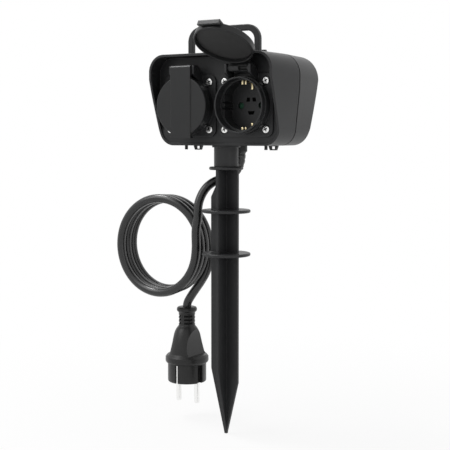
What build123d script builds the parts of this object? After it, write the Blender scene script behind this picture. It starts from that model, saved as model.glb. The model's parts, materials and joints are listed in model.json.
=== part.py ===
from build123d import *
import os
from math import atan2, cos, pi, radians, sin, sqrt, tan

os.makedirs("parts", exist_ok=True)

# Garden socket spike with two covered sockets in front and a day timer at the back.
# Millimetres. The origin is on the spike's axis at the underside of its lowest
# collar, where it meets the ground. +Z is up, +X to the right, the sockets face -Y.

# Head. Its heights are measured from the sockets' centre line.
socket_z = 122.5
head_drop = 32.0
head_rise = 41.5
seam_y = 12.0
seam_gap = 1.3
shell_wall = 2.5
hood_wall = 2.0
hood_reach = 39.0
sill_reach = 25.4
panel_reach = 24.5
panel_wall = 2.5
hood_half_width = 57.7
seam_flare = 3.6
low_inset = 1.3
knee_rise = 14.5
knee_reach = 4.2
seam_top_radius = 17.5
hood_top_radius = 14.0
rear_top_radius = 20.0
low_radius = 14.0
rear_low_radius = 17.0
cut_margin = 20.0
near = 0.1
slope_top_rise = 21.5
slope_low_drop = 21.5
slope_top_round = 14.0
slope_low_round = 12.0
seal_inset = 1.5

# Snap loops beside the seam and locating pegs under the head
loop_width = 8.4
loop_drop = 3.5
loop_bar = 1.3
loop_length = 3.0
loop_gap_width = 4.0
loop_slant = 70.0
loop_sink = 0.6
loop_low_x = 36.4
loop_high_x = 26.0
peg_x = 38.2
peg_y = -1.4
peg_radius = 1.3
peg_length = 3.4

# Long screws that hold the two shells together
post_radius = 3.6
post_inset = 8.2
post_drop = 23.0
post_rise = 30.6
long_screw_radius = 1.75
long_screw_length = 40.0
long_screw_head_radius = 3.2
long_screw_head_height = 2.2
long_screw_head_round = 0.8

# Sockets, standard earthed recess for two round pins
socket_pitch = 52.6
flange_size = 50.0
flange_thick = 1.5
flange_corner = 6.0
flange_seal_thick = 0.8
seal_groove_inset = 0.6
seal_groove_width = 1.6
collar_radius = 21.9
collar_reach = 11.1
collar_base_radius = 22.8
collar_base_height = 6.3
mouth_radius = 20.8
mouth_depth = 7.9
recess_radius = 19.6
recess_depth = 20.6
recess_flat = 17.3
recess_flat_height = 18.6
cup_radius = 22.0
cup_gap = 0.15
floor_thick = 2.5
pin_spacing = 19.0
pin_hole_radius = 2.75
key_width = 3.2
key_height = 2.4
key_groove_width = 6.2
floor_slot_width = 2.6
floor_slot_height = 3.1
floor_slot_x = 3.1
floor_slot_rise = 4.75
floor_notch_width = 6.1
floor_notch_height = 2.7
floor_notch_drop = 5.85
floor_mark_depth = 1.2
floor_slot_slant = 80.0
floor_notch_slant = 70.0
lug_radius = 23.7
lug_width = 3.4
lug_height = 4.2
socket_screw_pitch = 38.0
socket_screw_radius = 1.5
socket_screw_length = 10.0
socket_screw_head_radius = 3.0
socket_screw_head_height = 1.6
socket_screw_head_round = 0.7
screw_seat_radius = 3.6
screw_seat_depth = 0.6
screw_post_radius = 3.0
screw_post_length = 8.0

# Contacts behind the socket floor
base_radius = 21.4
base_thick = 10.0
clip_radius = 18.4
clip_thick = 0.8
clip_finger_width = 2.0
clip_finger_gap = 1.6
clip_front = 9.3
clip_bow = 2.6
clip_straight = 2.5
clip_bow_setback = 5.0
clip_fork_setback = 1.5
clip_slot_gap = 0.2
contact_radius = 3.1
contact_bore = 2.45
contact_tab_length = 5.0
contact_tab_thick = 1.0
contact_tab_width = 4.2
shutter_radius = 13.4
shutter_thick = 1.6
shutter_half_width = 3.3
shutter_pocket_gap = 0.4
shutter_pin_radius = 1.5
running_gap = 0.05
press_gap = 0.02

# Hinged socket covers
cover_radius = 23.75
cover_thick = 1.4
cover_rim_depth = 3.6
cover_recess_radius = 22.4
cover_band_width = 19.2
cover_band_proud = 0.6
cover_inner = 4.2
cover_edge_round = 0.6
cover_band_bevel = 1.2
cover_tab_drop = 55.3
cover_tab_lip = 3.7
cover_tab_thick = 1.8
cover_seal_radius = 22.2
cover_seal_thick = 0.6
cover_open_angle = 120.0
hinge_front = 9.3
hinge_rise = 29.0
knuckle_radius = 3.2
hinge_notch_width = 8.0
hinge_side_gap = 0.3
ear_thick = 2.0
ear_front = 4.4
ear_length = 7.2
ear_height = 7.4
ear_rise = 3.2
ear_corner = 1.2
ear_root_depth = 2.0
ear_root_sink = 0.5
ear_root_height = 7.0
hinge_pin_radius = 1.2

# Carrying handle
handle_half_width = 34.0
handle_height = 23.0
handle_bar = 5.0
handle_thick = 4.0
handle_corner = 12.0
handle_y = -3.0
handle_foot = 5.0
handle_gap = 0.05
handle_edge = 0.5

# Spike and its sleeve
sleeve_radius = 10.0
sleeve_bore = 8.6
sleeve_flange_radius = 11.5
sleeve_flange_thick = 1.5
sleeve_stub_radius = 9.3
sleeve_stub_length = 8.0
collar_thick = 2.6
stop_collar_radius = 14.0
ground_collar_radius = 20.0
collar_spacing = 35.6
collar_round = 0.4
sleeve_length = 17.2
spike_depth = 149.0
taper_start = 95.0
fin_thick = 2.4
long_fin = 14.0
short_fin = 11.5
cut_back_fin = 9.4
cut_back_length = 13.4
cut_back_drop = 9.0
tip_half_width = 0.8
spike_stub = 15.0
stub_gap = 0.1

# Cable gland and mains cord
gland_y = 21.0
gland_radius = 6.5
gland_length = 7.1
gland_stem_radius = 5.0
gland_ring_radius = 7.5
gland_ring_thick = 2.0
gland_throat_gap = 0.6
gland_taper = 2.2
cord_radius = 3.75
coil_centre_x = -71.3
coil_centre_z = 2.0
coil_radius = 39.6
coil_turns = 3
coil_pitch = 9.0
coil_end_radius = 38.0
coil_end_shift = -2.9
coil_front_y = 0.0
lead_run_in = 9.2
tail_run_out = 7.1
corner_share = 0.45

# Mains plug, hanging on the cord's tail
plug_x = -57.7
plug_y = 28.5
plug_top_z = -52.8
plug_bead_radius = 8.7
plug_bead_height = 4.4
plug_bead_round = 1.8
plug_neck_radius = 7.2
plug_neck_length = 11.4
plug_web_width = 3.1
rib_count = 3
rib_pitch = 3.0
rib_width = 1.4
rib_depth = 1.6
rib_first = 2.6
plug_shoulder_radius = 11.2
plug_shoulder_drop = 5.4
plug_body_radius = 15.0
plug_body_length = 23.2
plug_flange_radius = 19.0
plug_flange_height = 9.4
plug_flange_cone = 3.0
plug_flange_side = 3.7
plug_face_radius = 16.9
plug_face_length = 16.0
plug_edge = 0.9
plug_pin_radius = 2.4
plug_pin_length = 19.0
plug_pin_round = 1.7
plug_key_width = 5.6
plug_key_depth = 2.6
earth_slot_width = 3.6
earth_slot_depth = 2.2
earth_strip_width = 3.2
earth_strip_thick = 1.0
grip_depth = 7.6
grip_radius = 33.0

# Day timer on the rear face
timer_width = 56.0
timer_height = 50.0
timer_corner = 6.0
timer_bezel_thick = 2.0
timer_well_radius = 22.2
timer_case_radius = 24.0
timer_case_wall = 1.6
timer_case_depth = 18.0
timer_floor_depth = 8.0
timer_floor_thick = 1.5
timer_back_thick = 1.5
arbor_radius = 3.0
dial_radius = 21.6
dial_face_thick = 2.4
dial_skirt_depth = 5.4
dial_sink = 0.5
tappet_count = 48
tappet_radius = 18.8
tappet_depth = 1.9
tappet_width = 1.7
tappet_rise = 2.4
tappet_pressed_rise = 1.0
pressed_first = 34
pressed_last = 45
ring_teeth = 60
pinion_teeth = 10
tooth_module = 0.6
tooth_reach = 0.5
tooth_root = 0.7
tooth_share = 0.42
tooth_sink = 0.6
ring_tooth_sink = 0.2
pinion_lift = 2.1
pinion_width = 3.0
pinion_shaft_radius = 1.0
pinion_end_gap = 0.1
motor_radius = 7.0
micro_switch_x = 6.0
micro_switch_drop = 13.0
micro_switch_width = 12.0
micro_switch_height = 8.0
pointer_radius = 4.6
pointer_reach = 9.0
pointer_gap = 0.2
pointer_thick = 1.2
pointer_slant = 82.0
switch_x = 17.0
switch_drop = 20.0
switch_travel = 4.0
switch_width = 3.6
switch_height = 3.4
switch_rise = 2.0
switch_lift = 0.1
switch_stem_width = 2.0
switch_stem_height = 1.2
switch_stem_depth = 1.4
switch_gap = 0.08
switch_corner = 0.5
timer_cover_width = 54.0
timer_cover_height = 47.8
timer_cover_corner = 5.0
timer_cover_depth = 6.0
timer_cover_wall = 1.6
timer_cover_lift = 0.3
timer_cover_tab = 10.0
timer_cover_tab_drop = 2.2
timer_cover_tab_thick = 1.6
timer_cover_tab_set = 1.4
timer_cover_web = 3.2
timer_cover_round = 1.2
timer_hinge_rise = 2.5
timer_hinge_reach = 4.0
timer_knuckle_radius = 2.1
timer_knuckle_length = 34.0
timer_ear_thick = 2.0
timer_ear_root_shift = 0.5
timer_pin_radius = 1.0
timer_screw_x = 21.5
timer_screw_z = 15.5
timer_screw_radius = 1.2
timer_screw_head = 2.2
timer_screw_head_height = 1.2
timer_screw_length = 7.0

# Terminal block on the floor of the rear shell
terminal_post_gap = 15.5
terminal_y = 25.0
terminal_width = 16.0
terminal_depth = 10.0
terminal_height = 8.0
terminal_poles = 3
terminal_bore_radius = 1.4
terminal_screw_radius = 1.6
terminal_screw_depth = 1.2

# Places that follow from the sizes above
head_bottom = socket_z - head_drop
head_top = socket_z + head_rise
knee_z = socket_z + knee_rise
stop_collar_z = head_bottom - sleeve_length - collar_thick
cut_back_z = stop_collar_z - cut_back_length
slope_top_z = socket_z + slope_top_rise
slope_low_z = socket_z - slope_low_drop
seam_half_width = hood_half_width + seam_flare
seam_low_half_width = hood_half_width - low_inset
hood_low_half_width = hood_half_width - low_inset
post_x = hood_half_width - post_inset
terminal_x = terminal_post_gap - post_x
post_low_z = socket_z - post_drop
post_high_z = socket_z + post_rise
hinge_z = socket_z + hinge_rise
panel_y = seam_y - panel_reach
panel_inner_y = panel_y + panel_wall
hood_y = seam_y - hood_reach
rear_panel_y = seam_y + panel_reach
rear_inner_y = rear_panel_y - panel_wall
flange_y = panel_y - flange_thick
collar_y = flange_y - collar_reach
floor_y = collar_y + recess_depth
floor_back_y = floor_y + floor_thick
base_back_y = floor_back_y + base_thick
hinge_y = panel_y - hinge_front
cover_drop = hinge_rise
cover_outer = cover_inner + cover_thick
cover_face = cover_outer + cover_band_proud
collar_levels = [0.0, collar_spacing]
sockets = [("left", -socket_pitch / 2), ("right", socket_pitch / 2)]
loop_places = [
    (-loop_low_x, head_bottom, -1), (loop_low_x, head_bottom, -1),
    (-loop_high_x, head_top, 1), (loop_high_x, head_top, 1),
]
shell_posts = [(x, z) for x in (-post_x, post_x) for z in (post_low_z, post_high_z)]
flange_top_z = socket_z + flange_size / 2
timer_z = socket_z
timer_face_y = rear_panel_y + timer_bezel_thick
timer_floor_y = rear_panel_y - timer_floor_depth
timer_chamber_y = timer_floor_y - timer_floor_thick
timer_end_y = rear_panel_y - timer_case_depth
timer_chamber_radius = timer_case_radius - timer_case_wall
dial_face_y = timer_face_y - dial_sink
timer_hinge_y = rear_panel_y + timer_hinge_reach
timer_hinge_z = timer_z + timer_height / 2 + timer_hinge_rise
seal_groove_inner = cup_radius + seal_groove_inset
seal_groove_outer = seal_groove_inner + seal_groove_width


# Planes that face the front, the back and the right at a given place
def facing_front(y, x=0.0, z=0.0):
    return Plane(origin=(x, y, z), x_dir=(1, 0, 0), z_dir=(0, -1, 0))


def facing_back(y, x=0.0, z=0.0):
    return Plane(origin=(x, y, z), x_dir=(-1, 0, 0), z_dir=(0, 1, 0))


# The head's outline at depth y, drawn inside the outer surface by inset.
# The widths and corners change evenly from the seam to the hood's edge.
def head_outline(y, inset=0.0):
    share = abs(y - seam_y) / hood_reach
    wide = seam_half_width + share * (hood_half_width - seam_half_width) - inset
    narrow = seam_low_half_width + share * (hood_low_half_width - seam_low_half_width) - inset
    far_top, far_low = (hood_top_radius, low_radius) if y < seam_y else (rear_top_radius, rear_low_radius)
    top_round = seam_top_radius + share * (far_top - seam_top_radius) - inset
    low_round = low_radius + share * (far_low - low_radius) - inset
    top = head_top - inset
    bottom = head_bottom + inset
    knee_turn = abs(atan2(wide - narrow, knee_z - bottom))
    knee_radius = knee_reach / tan(knee_turn / 2)
    with BuildSketch(facing_front(y)) as outline:
        with BuildLine():
            Polyline(
                (-narrow, bottom), (narrow, bottom), (wide, knee_z),
                (wide, top), (-wide, top), (-wide, knee_z), close=True,
            )
        make_face()
        fillet(outline.vertices().filter_by_position(Axis.Y, knee_z - near, knee_z + near), knee_radius)
        fillet(outline.vertices().group_by(Axis.Y)[-1], top_round)
        fillet(outline.vertices().group_by(Axis.Y)[0], low_round)
    return outline.sketch


# Side view of what is cut off the hood, sloping back from its nose to the sill.
# side is -1 for the front hood and +1 for the rear one.
def hood_cut(side):
    far = seam_y + side * (hood_reach + cut_margin)
    edge = seam_y + side * hood_reach
    sill = seam_y + side * sill_reach
    with BuildSketch(Plane.YZ) as cut:
        with BuildLine():
            Polyline(
                (far, head_top + cut_margin), (edge, head_top + cut_margin), (edge, slope_top_z),
                (sill, slope_low_z), (sill, head_bottom - cut_margin), (far, head_bottom - cut_margin),
                close=True,
            )
        make_face()
        inner = cut.vertices().filter_by_position(Axis.Y, slope_low_z - near, slope_low_z + near)
        nose = cut.vertices().filter_by_position(Axis.Y, slope_top_z - near, slope_top_z + near)
        fillet(inner, slope_low_round)
        fillet(nose, slope_top_round)
    return cut.sketch


# Front shell: hood, recessed panel with two socket holes, posts for the screws
with BuildPart() as front_shell:
    loft([head_outline(seam_y - seam_gap / 2), head_outline(hood_y - 2)], ruled=True)
    loft(
        [head_outline(seam_y, shell_wall), head_outline(panel_inner_y, shell_wall)],
        ruled=True, mode=Mode.SUBTRACT,
    )
    loft(
        [head_outline(panel_y, hood_wall), head_outline(hood_y - 3, hood_wall)],
        ruled=True, mode=Mode.SUBTRACT,
    )
    extrude(hood_cut(-1), amount=seam_half_width + cut_margin, both=True, mode=Mode.SUBTRACT)
    with BuildSketch(facing_front(panel_inner_y)):
        with Locations(*shell_posts):
            Circle(post_radius)
    extrude(amount=-(seam_y - seam_gap / 2 - panel_inner_y))
    with BuildSketch(facing_front(panel_inner_y)):
        for _, x in sockets:
            with Locations((x, socket_z)):
                with GridLocations(socket_screw_pitch, socket_screw_pitch, 2, 2):
                    Circle(screw_post_radius)
    extrude(amount=-screw_post_length)
    with BuildSketch(facing_front(panel_y)):
        for _, x in sockets:
            with Locations((x, socket_z)):
                Circle(cup_radius + cup_gap)
    extrude(amount=-panel_wall, mode=Mode.SUBTRACT)
    with BuildSketch(facing_front(panel_y)):
        for _, x in sockets:
            with Locations((x, socket_z)):
                with GridLocations(socket_screw_pitch, socket_screw_pitch, 2, 2):
                    Circle(socket_screw_radius + running_gap)
    extrude(amount=-(panel_wall + screw_post_length - 1), mode=Mode.SUBTRACT)
    with BuildSketch(facing_front(seam_y - seam_gap / 2)):
        with Locations(*shell_posts):
            Circle(long_screw_radius + running_gap)
    extrude(amount=long_screw_length / 2, mode=Mode.SUBTRACT)
    with BuildSketch(Plane.XY.offset(head_bottom)):
        Circle(sleeve_stub_radius + running_gap)
    extrude(amount=shell_wall, mode=Mode.SUBTRACT)
    with BuildSketch(Plane.XY.offset(head_top)):
        with Locations((0, handle_y)), GridLocations(2 * handle_half_width - handle_bar, 0, 2, 1):
            Rectangle(handle_bar + 2 * handle_gap, handle_thick + 2 * handle_gap)
    extrude(amount=-shell_wall, mode=Mode.SUBTRACT)
    with BuildSketch(Plane.XY.offset(head_bottom)):
        with Locations((-peg_x, peg_y), (peg_x, peg_y)):
            Circle(peg_radius)
    extrude(amount=-peg_length)
front_shell.part.label = "front_shell"
export_step(front_shell.part, "parts/front_shell.step")

# Rear shell: the same hood turned round, a panel with the timer's hole,
# screw seats, the gland's hole, and the four snap loops beside the seam
with BuildPart() as rear_shell:
    loft([head_outline(seam_y + seam_gap / 2), head_outline(2 * seam_y - hood_y + 2)], ruled=True)
    loft(
        [head_outline(seam_y, shell_wall), head_outline(rear_inner_y, shell_wall)],
        ruled=True, mode=Mode.SUBTRACT,
    )
    loft(
        [head_outline(rear_panel_y, hood_wall), head_outline(2 * seam_y - hood_y + 3, hood_wall)],
        ruled=True, mode=Mode.SUBTRACT,
    )
    extrude(hood_cut(1), amount=seam_half_width + cut_margin, both=True, mode=Mode.SUBTRACT)
    with BuildSketch(facing_back(seam_y + seam_gap / 2)):
        with Locations(*shell_posts):
            Circle(post_radius)
    extrude(amount=rear_panel_y - seam_y - seam_gap / 2)
    with BuildSketch(facing_back(rear_panel_y)):
        with Locations((0, timer_z)):
            Circle(timer_case_radius + cup_gap)
    extrude(amount=-panel_wall, mode=Mode.SUBTRACT)
    with BuildSketch(facing_back(rear_panel_y)):
        with Locations(*shell_posts):
            Circle(long_screw_radius + running_gap)
    extrude(amount=-(rear_panel_y - seam_y), mode=Mode.SUBTRACT)
    with BuildSketch(facing_back(rear_panel_y)):
        with Locations((0, timer_z)):
            with GridLocations(2 * timer_screw_x, 2 * timer_screw_z, 2, 2):
                Circle(timer_screw_radius + running_gap)
    extrude(amount=-panel_wall, mode=Mode.SUBTRACT)
    with BuildSketch(Plane.XY.offset(head_bottom)):
        with Locations((0, gland_y)):
            Circle(gland_stem_radius + running_gap)
    extrude(amount=shell_wall, mode=Mode.SUBTRACT)
    for x, z, way in loop_places:
        with BuildSketch(facing_back(seam_y + seam_gap / 2)):
            with Locations((-x, z + way * loop_drop / 2)):
                Trapezoid(loop_width, loop_drop + loop_sink, loop_slant, rotation=0 if way > 0 else 180)
                Rectangle(loop_gap_width, loop_drop - loop_bar, mode=Mode.SUBTRACT)
        extrude(amount=loop_length)
rear_shell.part.label = "rear_shell"
export_step(rear_shell.part, "parts/rear_shell.step")

# Seal between the shells, set back so that the seam reads as a dark groove
with BuildPart() as housing_seal:
    ring_outer = head_outline(seam_y + seam_gap / 2, seal_inset)
    ring_inner = head_outline(seam_y + seam_gap / 2, shell_wall)
    extrude(ring_outer, amount=seam_gap)
    extrude(ring_inner, amount=seam_gap, mode=Mode.SUBTRACT)
housing_seal.part.label = "housing_seal"
export_step(housing_seal.part, "parts/housing_seal.step")

# Long screws from the back, heads on the rear panel
with BuildPart() as housing_screws:
    with BuildSketch(facing_back(rear_panel_y)):
        with Locations(*shell_posts):
            Circle(long_screw_radius)
    extrude(amount=-long_screw_length)
    with BuildSketch(facing_back(rear_panel_y)):
        with Locations(*shell_posts):
            Circle(long_screw_head_radius)
    extrude(amount=long_screw_head_height)
    fillet(housing_screws.faces().sort_by(Axis.Y)[-1].edges(), long_screw_head_round)
housing_screws.part.label = "housing_screws"
export_step(housing_screws.part, "parts/housing_screws.step")

# Carrying handle: a flat loop whose two feet stand in the front shell's top
with BuildPart() as carry_handle:
    with BuildSketch(facing_front(handle_y + handle_thick / 2)) as loop:
        with Locations((0, head_top + (handle_height - handle_foot) / 2)):
            Rectangle(2 * handle_half_width, handle_height + handle_foot)
        fillet(loop.vertices().group_by(Axis.Y)[-1], handle_corner)
    extrude(amount=handle_thick)
    with BuildSketch(facing_front(handle_y + handle_thick / 2)) as gap:
        with Locations((0, head_top + (handle_height - handle_foot - handle_bar) / 2)):
            Rectangle(2 * (handle_half_width - handle_bar), handle_height + handle_foot - handle_bar)
        fillet(gap.vertices().group_by(Axis.Y)[-1], handle_corner - handle_bar)
    extrude(amount=handle_thick, mode=Mode.SUBTRACT)
    rims = carry_handle.edges().filter_by(GeomType.CIRCLE)
    chamfer(rims, handle_edge)
carry_handle.part.label = "carry_handle"
export_step(carry_handle.part, "parts/carry_handle.step")

# Socket inserts: flange, collar and cup in one moulding, with hinge ears on top
clip_slot_width = 2 * (clip_finger_width + clip_slot_gap) + clip_finger_gap
ear_places = [side * (cover_band_width / 2 + hinge_side_gap + ear_thick / 2) for side in (-1, 1)]
for side, x in sockets:
    with BuildPart() as socket:
        with BuildSketch(facing_front(panel_y, x, socket_z)):
            RectangleRounded(flange_size, flange_size, flange_corner)
        extrude(amount=flange_thick)
        with BuildSketch(facing_front(panel_y, x, socket_z)):
            Circle(collar_base_radius)
        extrude(amount=flange_thick + collar_base_height)
        with BuildSketch(facing_front(panel_y, x, socket_z)):
            with PolarLocations(lug_radius / 2, 4, start_angle=45):
                Rectangle(lug_radius, lug_width)
        extrude(amount=flange_thick + lug_height)
        with BuildSketch(facing_front(floor_back_y, x, socket_z)):
            Circle(cup_radius)
        extrude(amount=floor_back_y - collar_y)
        with BuildSketch(facing_front(flange_y, x, socket_z)):
            Circle(collar_radius)
        extrude(amount=collar_reach)
        with BuildSketch(facing_front(collar_y, x, socket_z)):
            Circle(mouth_radius)
        extrude(amount=-mouth_depth, mode=Mode.SUBTRACT)
        with BuildSketch(facing_front(collar_y, x, socket_z)):
            Circle(recess_radius)
            with GridLocations(4 * recess_flat, 0, 2, 1):
                Rectangle(2 * recess_flat, recess_flat_height, mode=Mode.SUBTRACT)
            Rectangle(2 * recess_radius, key_groove_width)
            with GridLocations(2 * recess_radius, 0, 2, 1):
                Rectangle(2 * key_height, key_width, mode=Mode.SUBTRACT)
            Circle(recess_radius, mode=Mode.INTERSECT)
        extrude(amount=-recess_depth, mode=Mode.SUBTRACT)
        with BuildSketch(facing_front(floor_y, x, socket_z)):
            with Locations((-floor_slot_x, floor_slot_rise), (floor_slot_x, floor_slot_rise)):
                Trapezoid(floor_slot_width, floor_slot_height, floor_slot_slant)
            with Locations((0, -floor_notch_drop)):
                Trapezoid(floor_notch_width, floor_notch_height, floor_notch_slant, rotation=180)
        extrude(amount=-floor_mark_depth, mode=Mode.SUBTRACT)
        with BuildSketch(facing_front(floor_y, x, socket_z)):
            with GridLocations(pin_spacing, 0, 2, 1):
                Circle(pin_hole_radius)
            with GridLocations(0, 2 * (clip_radius + clip_thick / 2), 1, 2):
                Rectangle(clip_slot_width, 2 * clip_thick)
        extrude(amount=-floor_thick, mode=Mode.SUBTRACT)
        with BuildSketch(facing_front(flange_y, x, socket_z)):
            with GridLocations(socket_screw_pitch, socket_screw_pitch, 2, 2):
                Circle(screw_seat_radius)
        extrude(amount=-screw_seat_depth, mode=Mode.SUBTRACT)
        with BuildSketch(facing_front(flange_y, x, socket_z)):
            with GridLocations(socket_screw_pitch, socket_screw_pitch, 2, 2):
                Circle(socket_screw_radius + running_gap)
        extrude(amount=-flange_thick, mode=Mode.SUBTRACT)
        with BuildSketch(facing_front(panel_y, x, socket_z)):
            Circle(seal_groove_outer)
            Circle(seal_groove_inner, mode=Mode.SUBTRACT)
        extrude(amount=flange_seal_thick, mode=Mode.SUBTRACT)
        for ear_x in ear_places:
            with BuildSketch(Plane.YZ.offset(x + ear_x - ear_thick / 2)):
                with Locations((hinge_y - ear_front + ear_length / 2, hinge_z + ear_rise - ear_height / 2)):
                    RectangleRounded(ear_length, ear_height, ear_corner)
                with Locations((flange_y + ear_root_sink, flange_top_z)):
                    Rectangle(ear_root_sink + ear_root_depth, ear_root_height, align=Align.MAX)
                make_hull()
                with Locations((hinge_y, hinge_z)):
                    Circle(hinge_pin_radius + press_gap, mode=Mode.SUBTRACT)
            extrude(amount=ear_thick)
    socket.part.label = f"socket_{side}"
    export_step(socket.part, f"parts/socket_{side}.step")

    # Seal ring in the groove behind the flange
    with BuildPart() as socket_seal:
        with BuildSketch(facing_front(panel_y, x, socket_z)):
            Circle(seal_groove_outer)
            Circle(seal_groove_inner, mode=Mode.SUBTRACT)
        extrude(amount=flange_seal_thick)
    socket_seal.part.label = f"socket_seal_{side}"
    export_step(socket_seal.part, f"parts/socket_seal_{side}.step")

    # Contact base behind the cup, with the shutter's pocket and pivot in its face
    pocket_depth = shutter_thick + shutter_pocket_gap
    with BuildPart() as contact_base:
        with BuildSketch(facing_back(floor_back_y, x, socket_z)):
            Circle(base_radius)
            with GridLocations(0, 2 * (clip_radius + clip_thick / 2), 1, 2):
                Rectangle(clip_slot_width, 2 * clip_thick, mode=Mode.SUBTRACT)
        extrude(amount=base_thick)
        with BuildSketch(facing_back(floor_back_y, x, socket_z)):
            Circle(shutter_radius + shutter_pocket_gap)
            Circle(shutter_pin_radius, mode=Mode.SUBTRACT)
        extrude(amount=pocket_depth, mode=Mode.SUBTRACT)
        with BuildSketch(facing_back(floor_back_y, x, socket_z)):
            with GridLocations(pin_spacing, 0, 2, 1):
                Circle(contact_radius + running_gap)
        extrude(amount=base_thick, mode=Mode.SUBTRACT)
    contact_base.part.label = f"contact_base_{side}"
    export_step(contact_base.part, f"parts/contact_base_{side}.step")

    # Two brass sleeves that grip the plug's pins, each with a tab for its wire
    with BuildPart() as contacts:
        with BuildSketch(facing_back(floor_back_y + pocket_depth, x, socket_z)):
            with GridLocations(pin_spacing, 0, 2, 1):
                Circle(contact_radius)
        extrude(amount=base_thick - pocket_depth)
        with BuildSketch(facing_back(floor_back_y + pocket_depth, x, socket_z)):
            with GridLocations(pin_spacing, 0, 2, 1):
                Circle(contact_bore)
        extrude(amount=base_thick - pocket_depth - 1, mode=Mode.SUBTRACT)
        with BuildSketch(facing_back(base_back_y, x, socket_z)):
            with GridLocations(pin_spacing, 0, 2, 1):
                Rectangle(contact_tab_thick, contact_tab_width)
        extrude(amount=contact_tab_length)
    contacts.part.label = f"contacts_{side}"
    export_step(contacts.part, f"parts/contacts_{side}.step")

    # Shutter: two wings that cover the pin holes until both pins turn it
    with BuildPart() as shutter:
        with BuildSketch(facing_back(floor_back_y + shutter_pocket_gap / 2, x, socket_z)):
            Circle(shutter_radius)
            Rectangle(2 * shutter_radius, 2 * shutter_half_width, mode=Mode.INTERSECT)
            Circle(shutter_pin_radius + 2)
            Circle(shutter_pin_radius + running_gap, mode=Mode.SUBTRACT)
        extrude(amount=shutter_thick)
    shutter.part.label = f"shutter_{side}"
    export_step(shutter.part, f"parts/shutter_{side}.step")

    # Earth clip: one brass strap with a forked, bowed spring at each end
    arm = clip_radius + clip_thick / 2
    strap_y = base_back_y + clip_thick / 2
    fork_y = floor_y - clip_fork_setback
    half_clip = [
        (collar_y + clip_front, arm), (collar_y + clip_front + clip_straight, arm),
        (floor_y - clip_bow_setback, arm - clip_bow), (fork_y, arm), (strap_y, arm),
    ]
    with BuildPart() as earth_clip:
        with BuildSketch(Plane.YZ.offset(x)):
            with BuildLine():
                upper = [(y, socket_z + z) for y, z in half_clip]
                lower = [(y, socket_z - z) for y, z in reversed(half_clip)]
                Polyline(upper + lower)
            trace(line_width=clip_thick)
        extrude(amount=clip_finger_width + clip_finger_gap / 2, both=True)
        with BuildSketch(Plane.YZ.offset(x)):
            with Locations(((collar_y + fork_y) / 2, socket_z)):
                Rectangle(fork_y - collar_y, 2 * recess_radius)
        extrude(amount=clip_finger_gap / 2, both=True, mode=Mode.SUBTRACT)
    earth_clip.part.label = f"earth_clip_{side}"
    export_step(earth_clip.part, f"parts/earth_clip_{side}.step")

    # Pin through the ears and the cover's knuckle
    with BuildPart() as hinge_pin:
        with BuildSketch(Plane.YZ.offset(x)):
            with Locations((hinge_y, hinge_z)):
                Circle(hinge_pin_radius)
        extrude(amount=ear_places[1] + ear_thick / 2, both=True)
    hinge_pin.part.label = f"hinge_pin_{side}"
    export_step(hinge_pin.part, f"parts/hinge_pin_{side}.step")

# Socket flange screws, four to each socket
with BuildPart() as socket_screws:
    for _, x in sockets:
        with BuildSketch(facing_front(flange_y + screw_seat_depth, x, socket_z)):
            with GridLocations(socket_screw_pitch, socket_screw_pitch, 2, 2):
                Circle(socket_screw_radius)
        extrude(amount=-socket_screw_length)
        with BuildSketch(facing_front(flange_y + screw_seat_depth, x, socket_z)):
            with GridLocations(socket_screw_pitch, socket_screw_pitch, 2, 2):
                Circle(socket_screw_head_radius)
        extrude(amount=socket_screw_head_height)
    fillet(socket_screws.faces().group_by(Axis.Y)[0].edges(), socket_screw_head_round)
socket_screws.part.label = "socket_screws"
export_step(socket_screws.part, "parts/socket_screws.step")


# A cover is drawn in the plane of its own hinge, swung open by an angle
def cover_plane(x, angle):
    turn = radians(angle)
    return Plane(origin=(x, hinge_y, hinge_z), x_dir=(1, 0, 0), z_dir=(0, -cos(turn), sin(turn)))


def cover_side(x, angle):
    turn = radians(angle)
    return Plane(origin=(x, hinge_y, hinge_z), x_dir=(0, -cos(turn), sin(turn)), z_dir=(-1, 0, 0))


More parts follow.
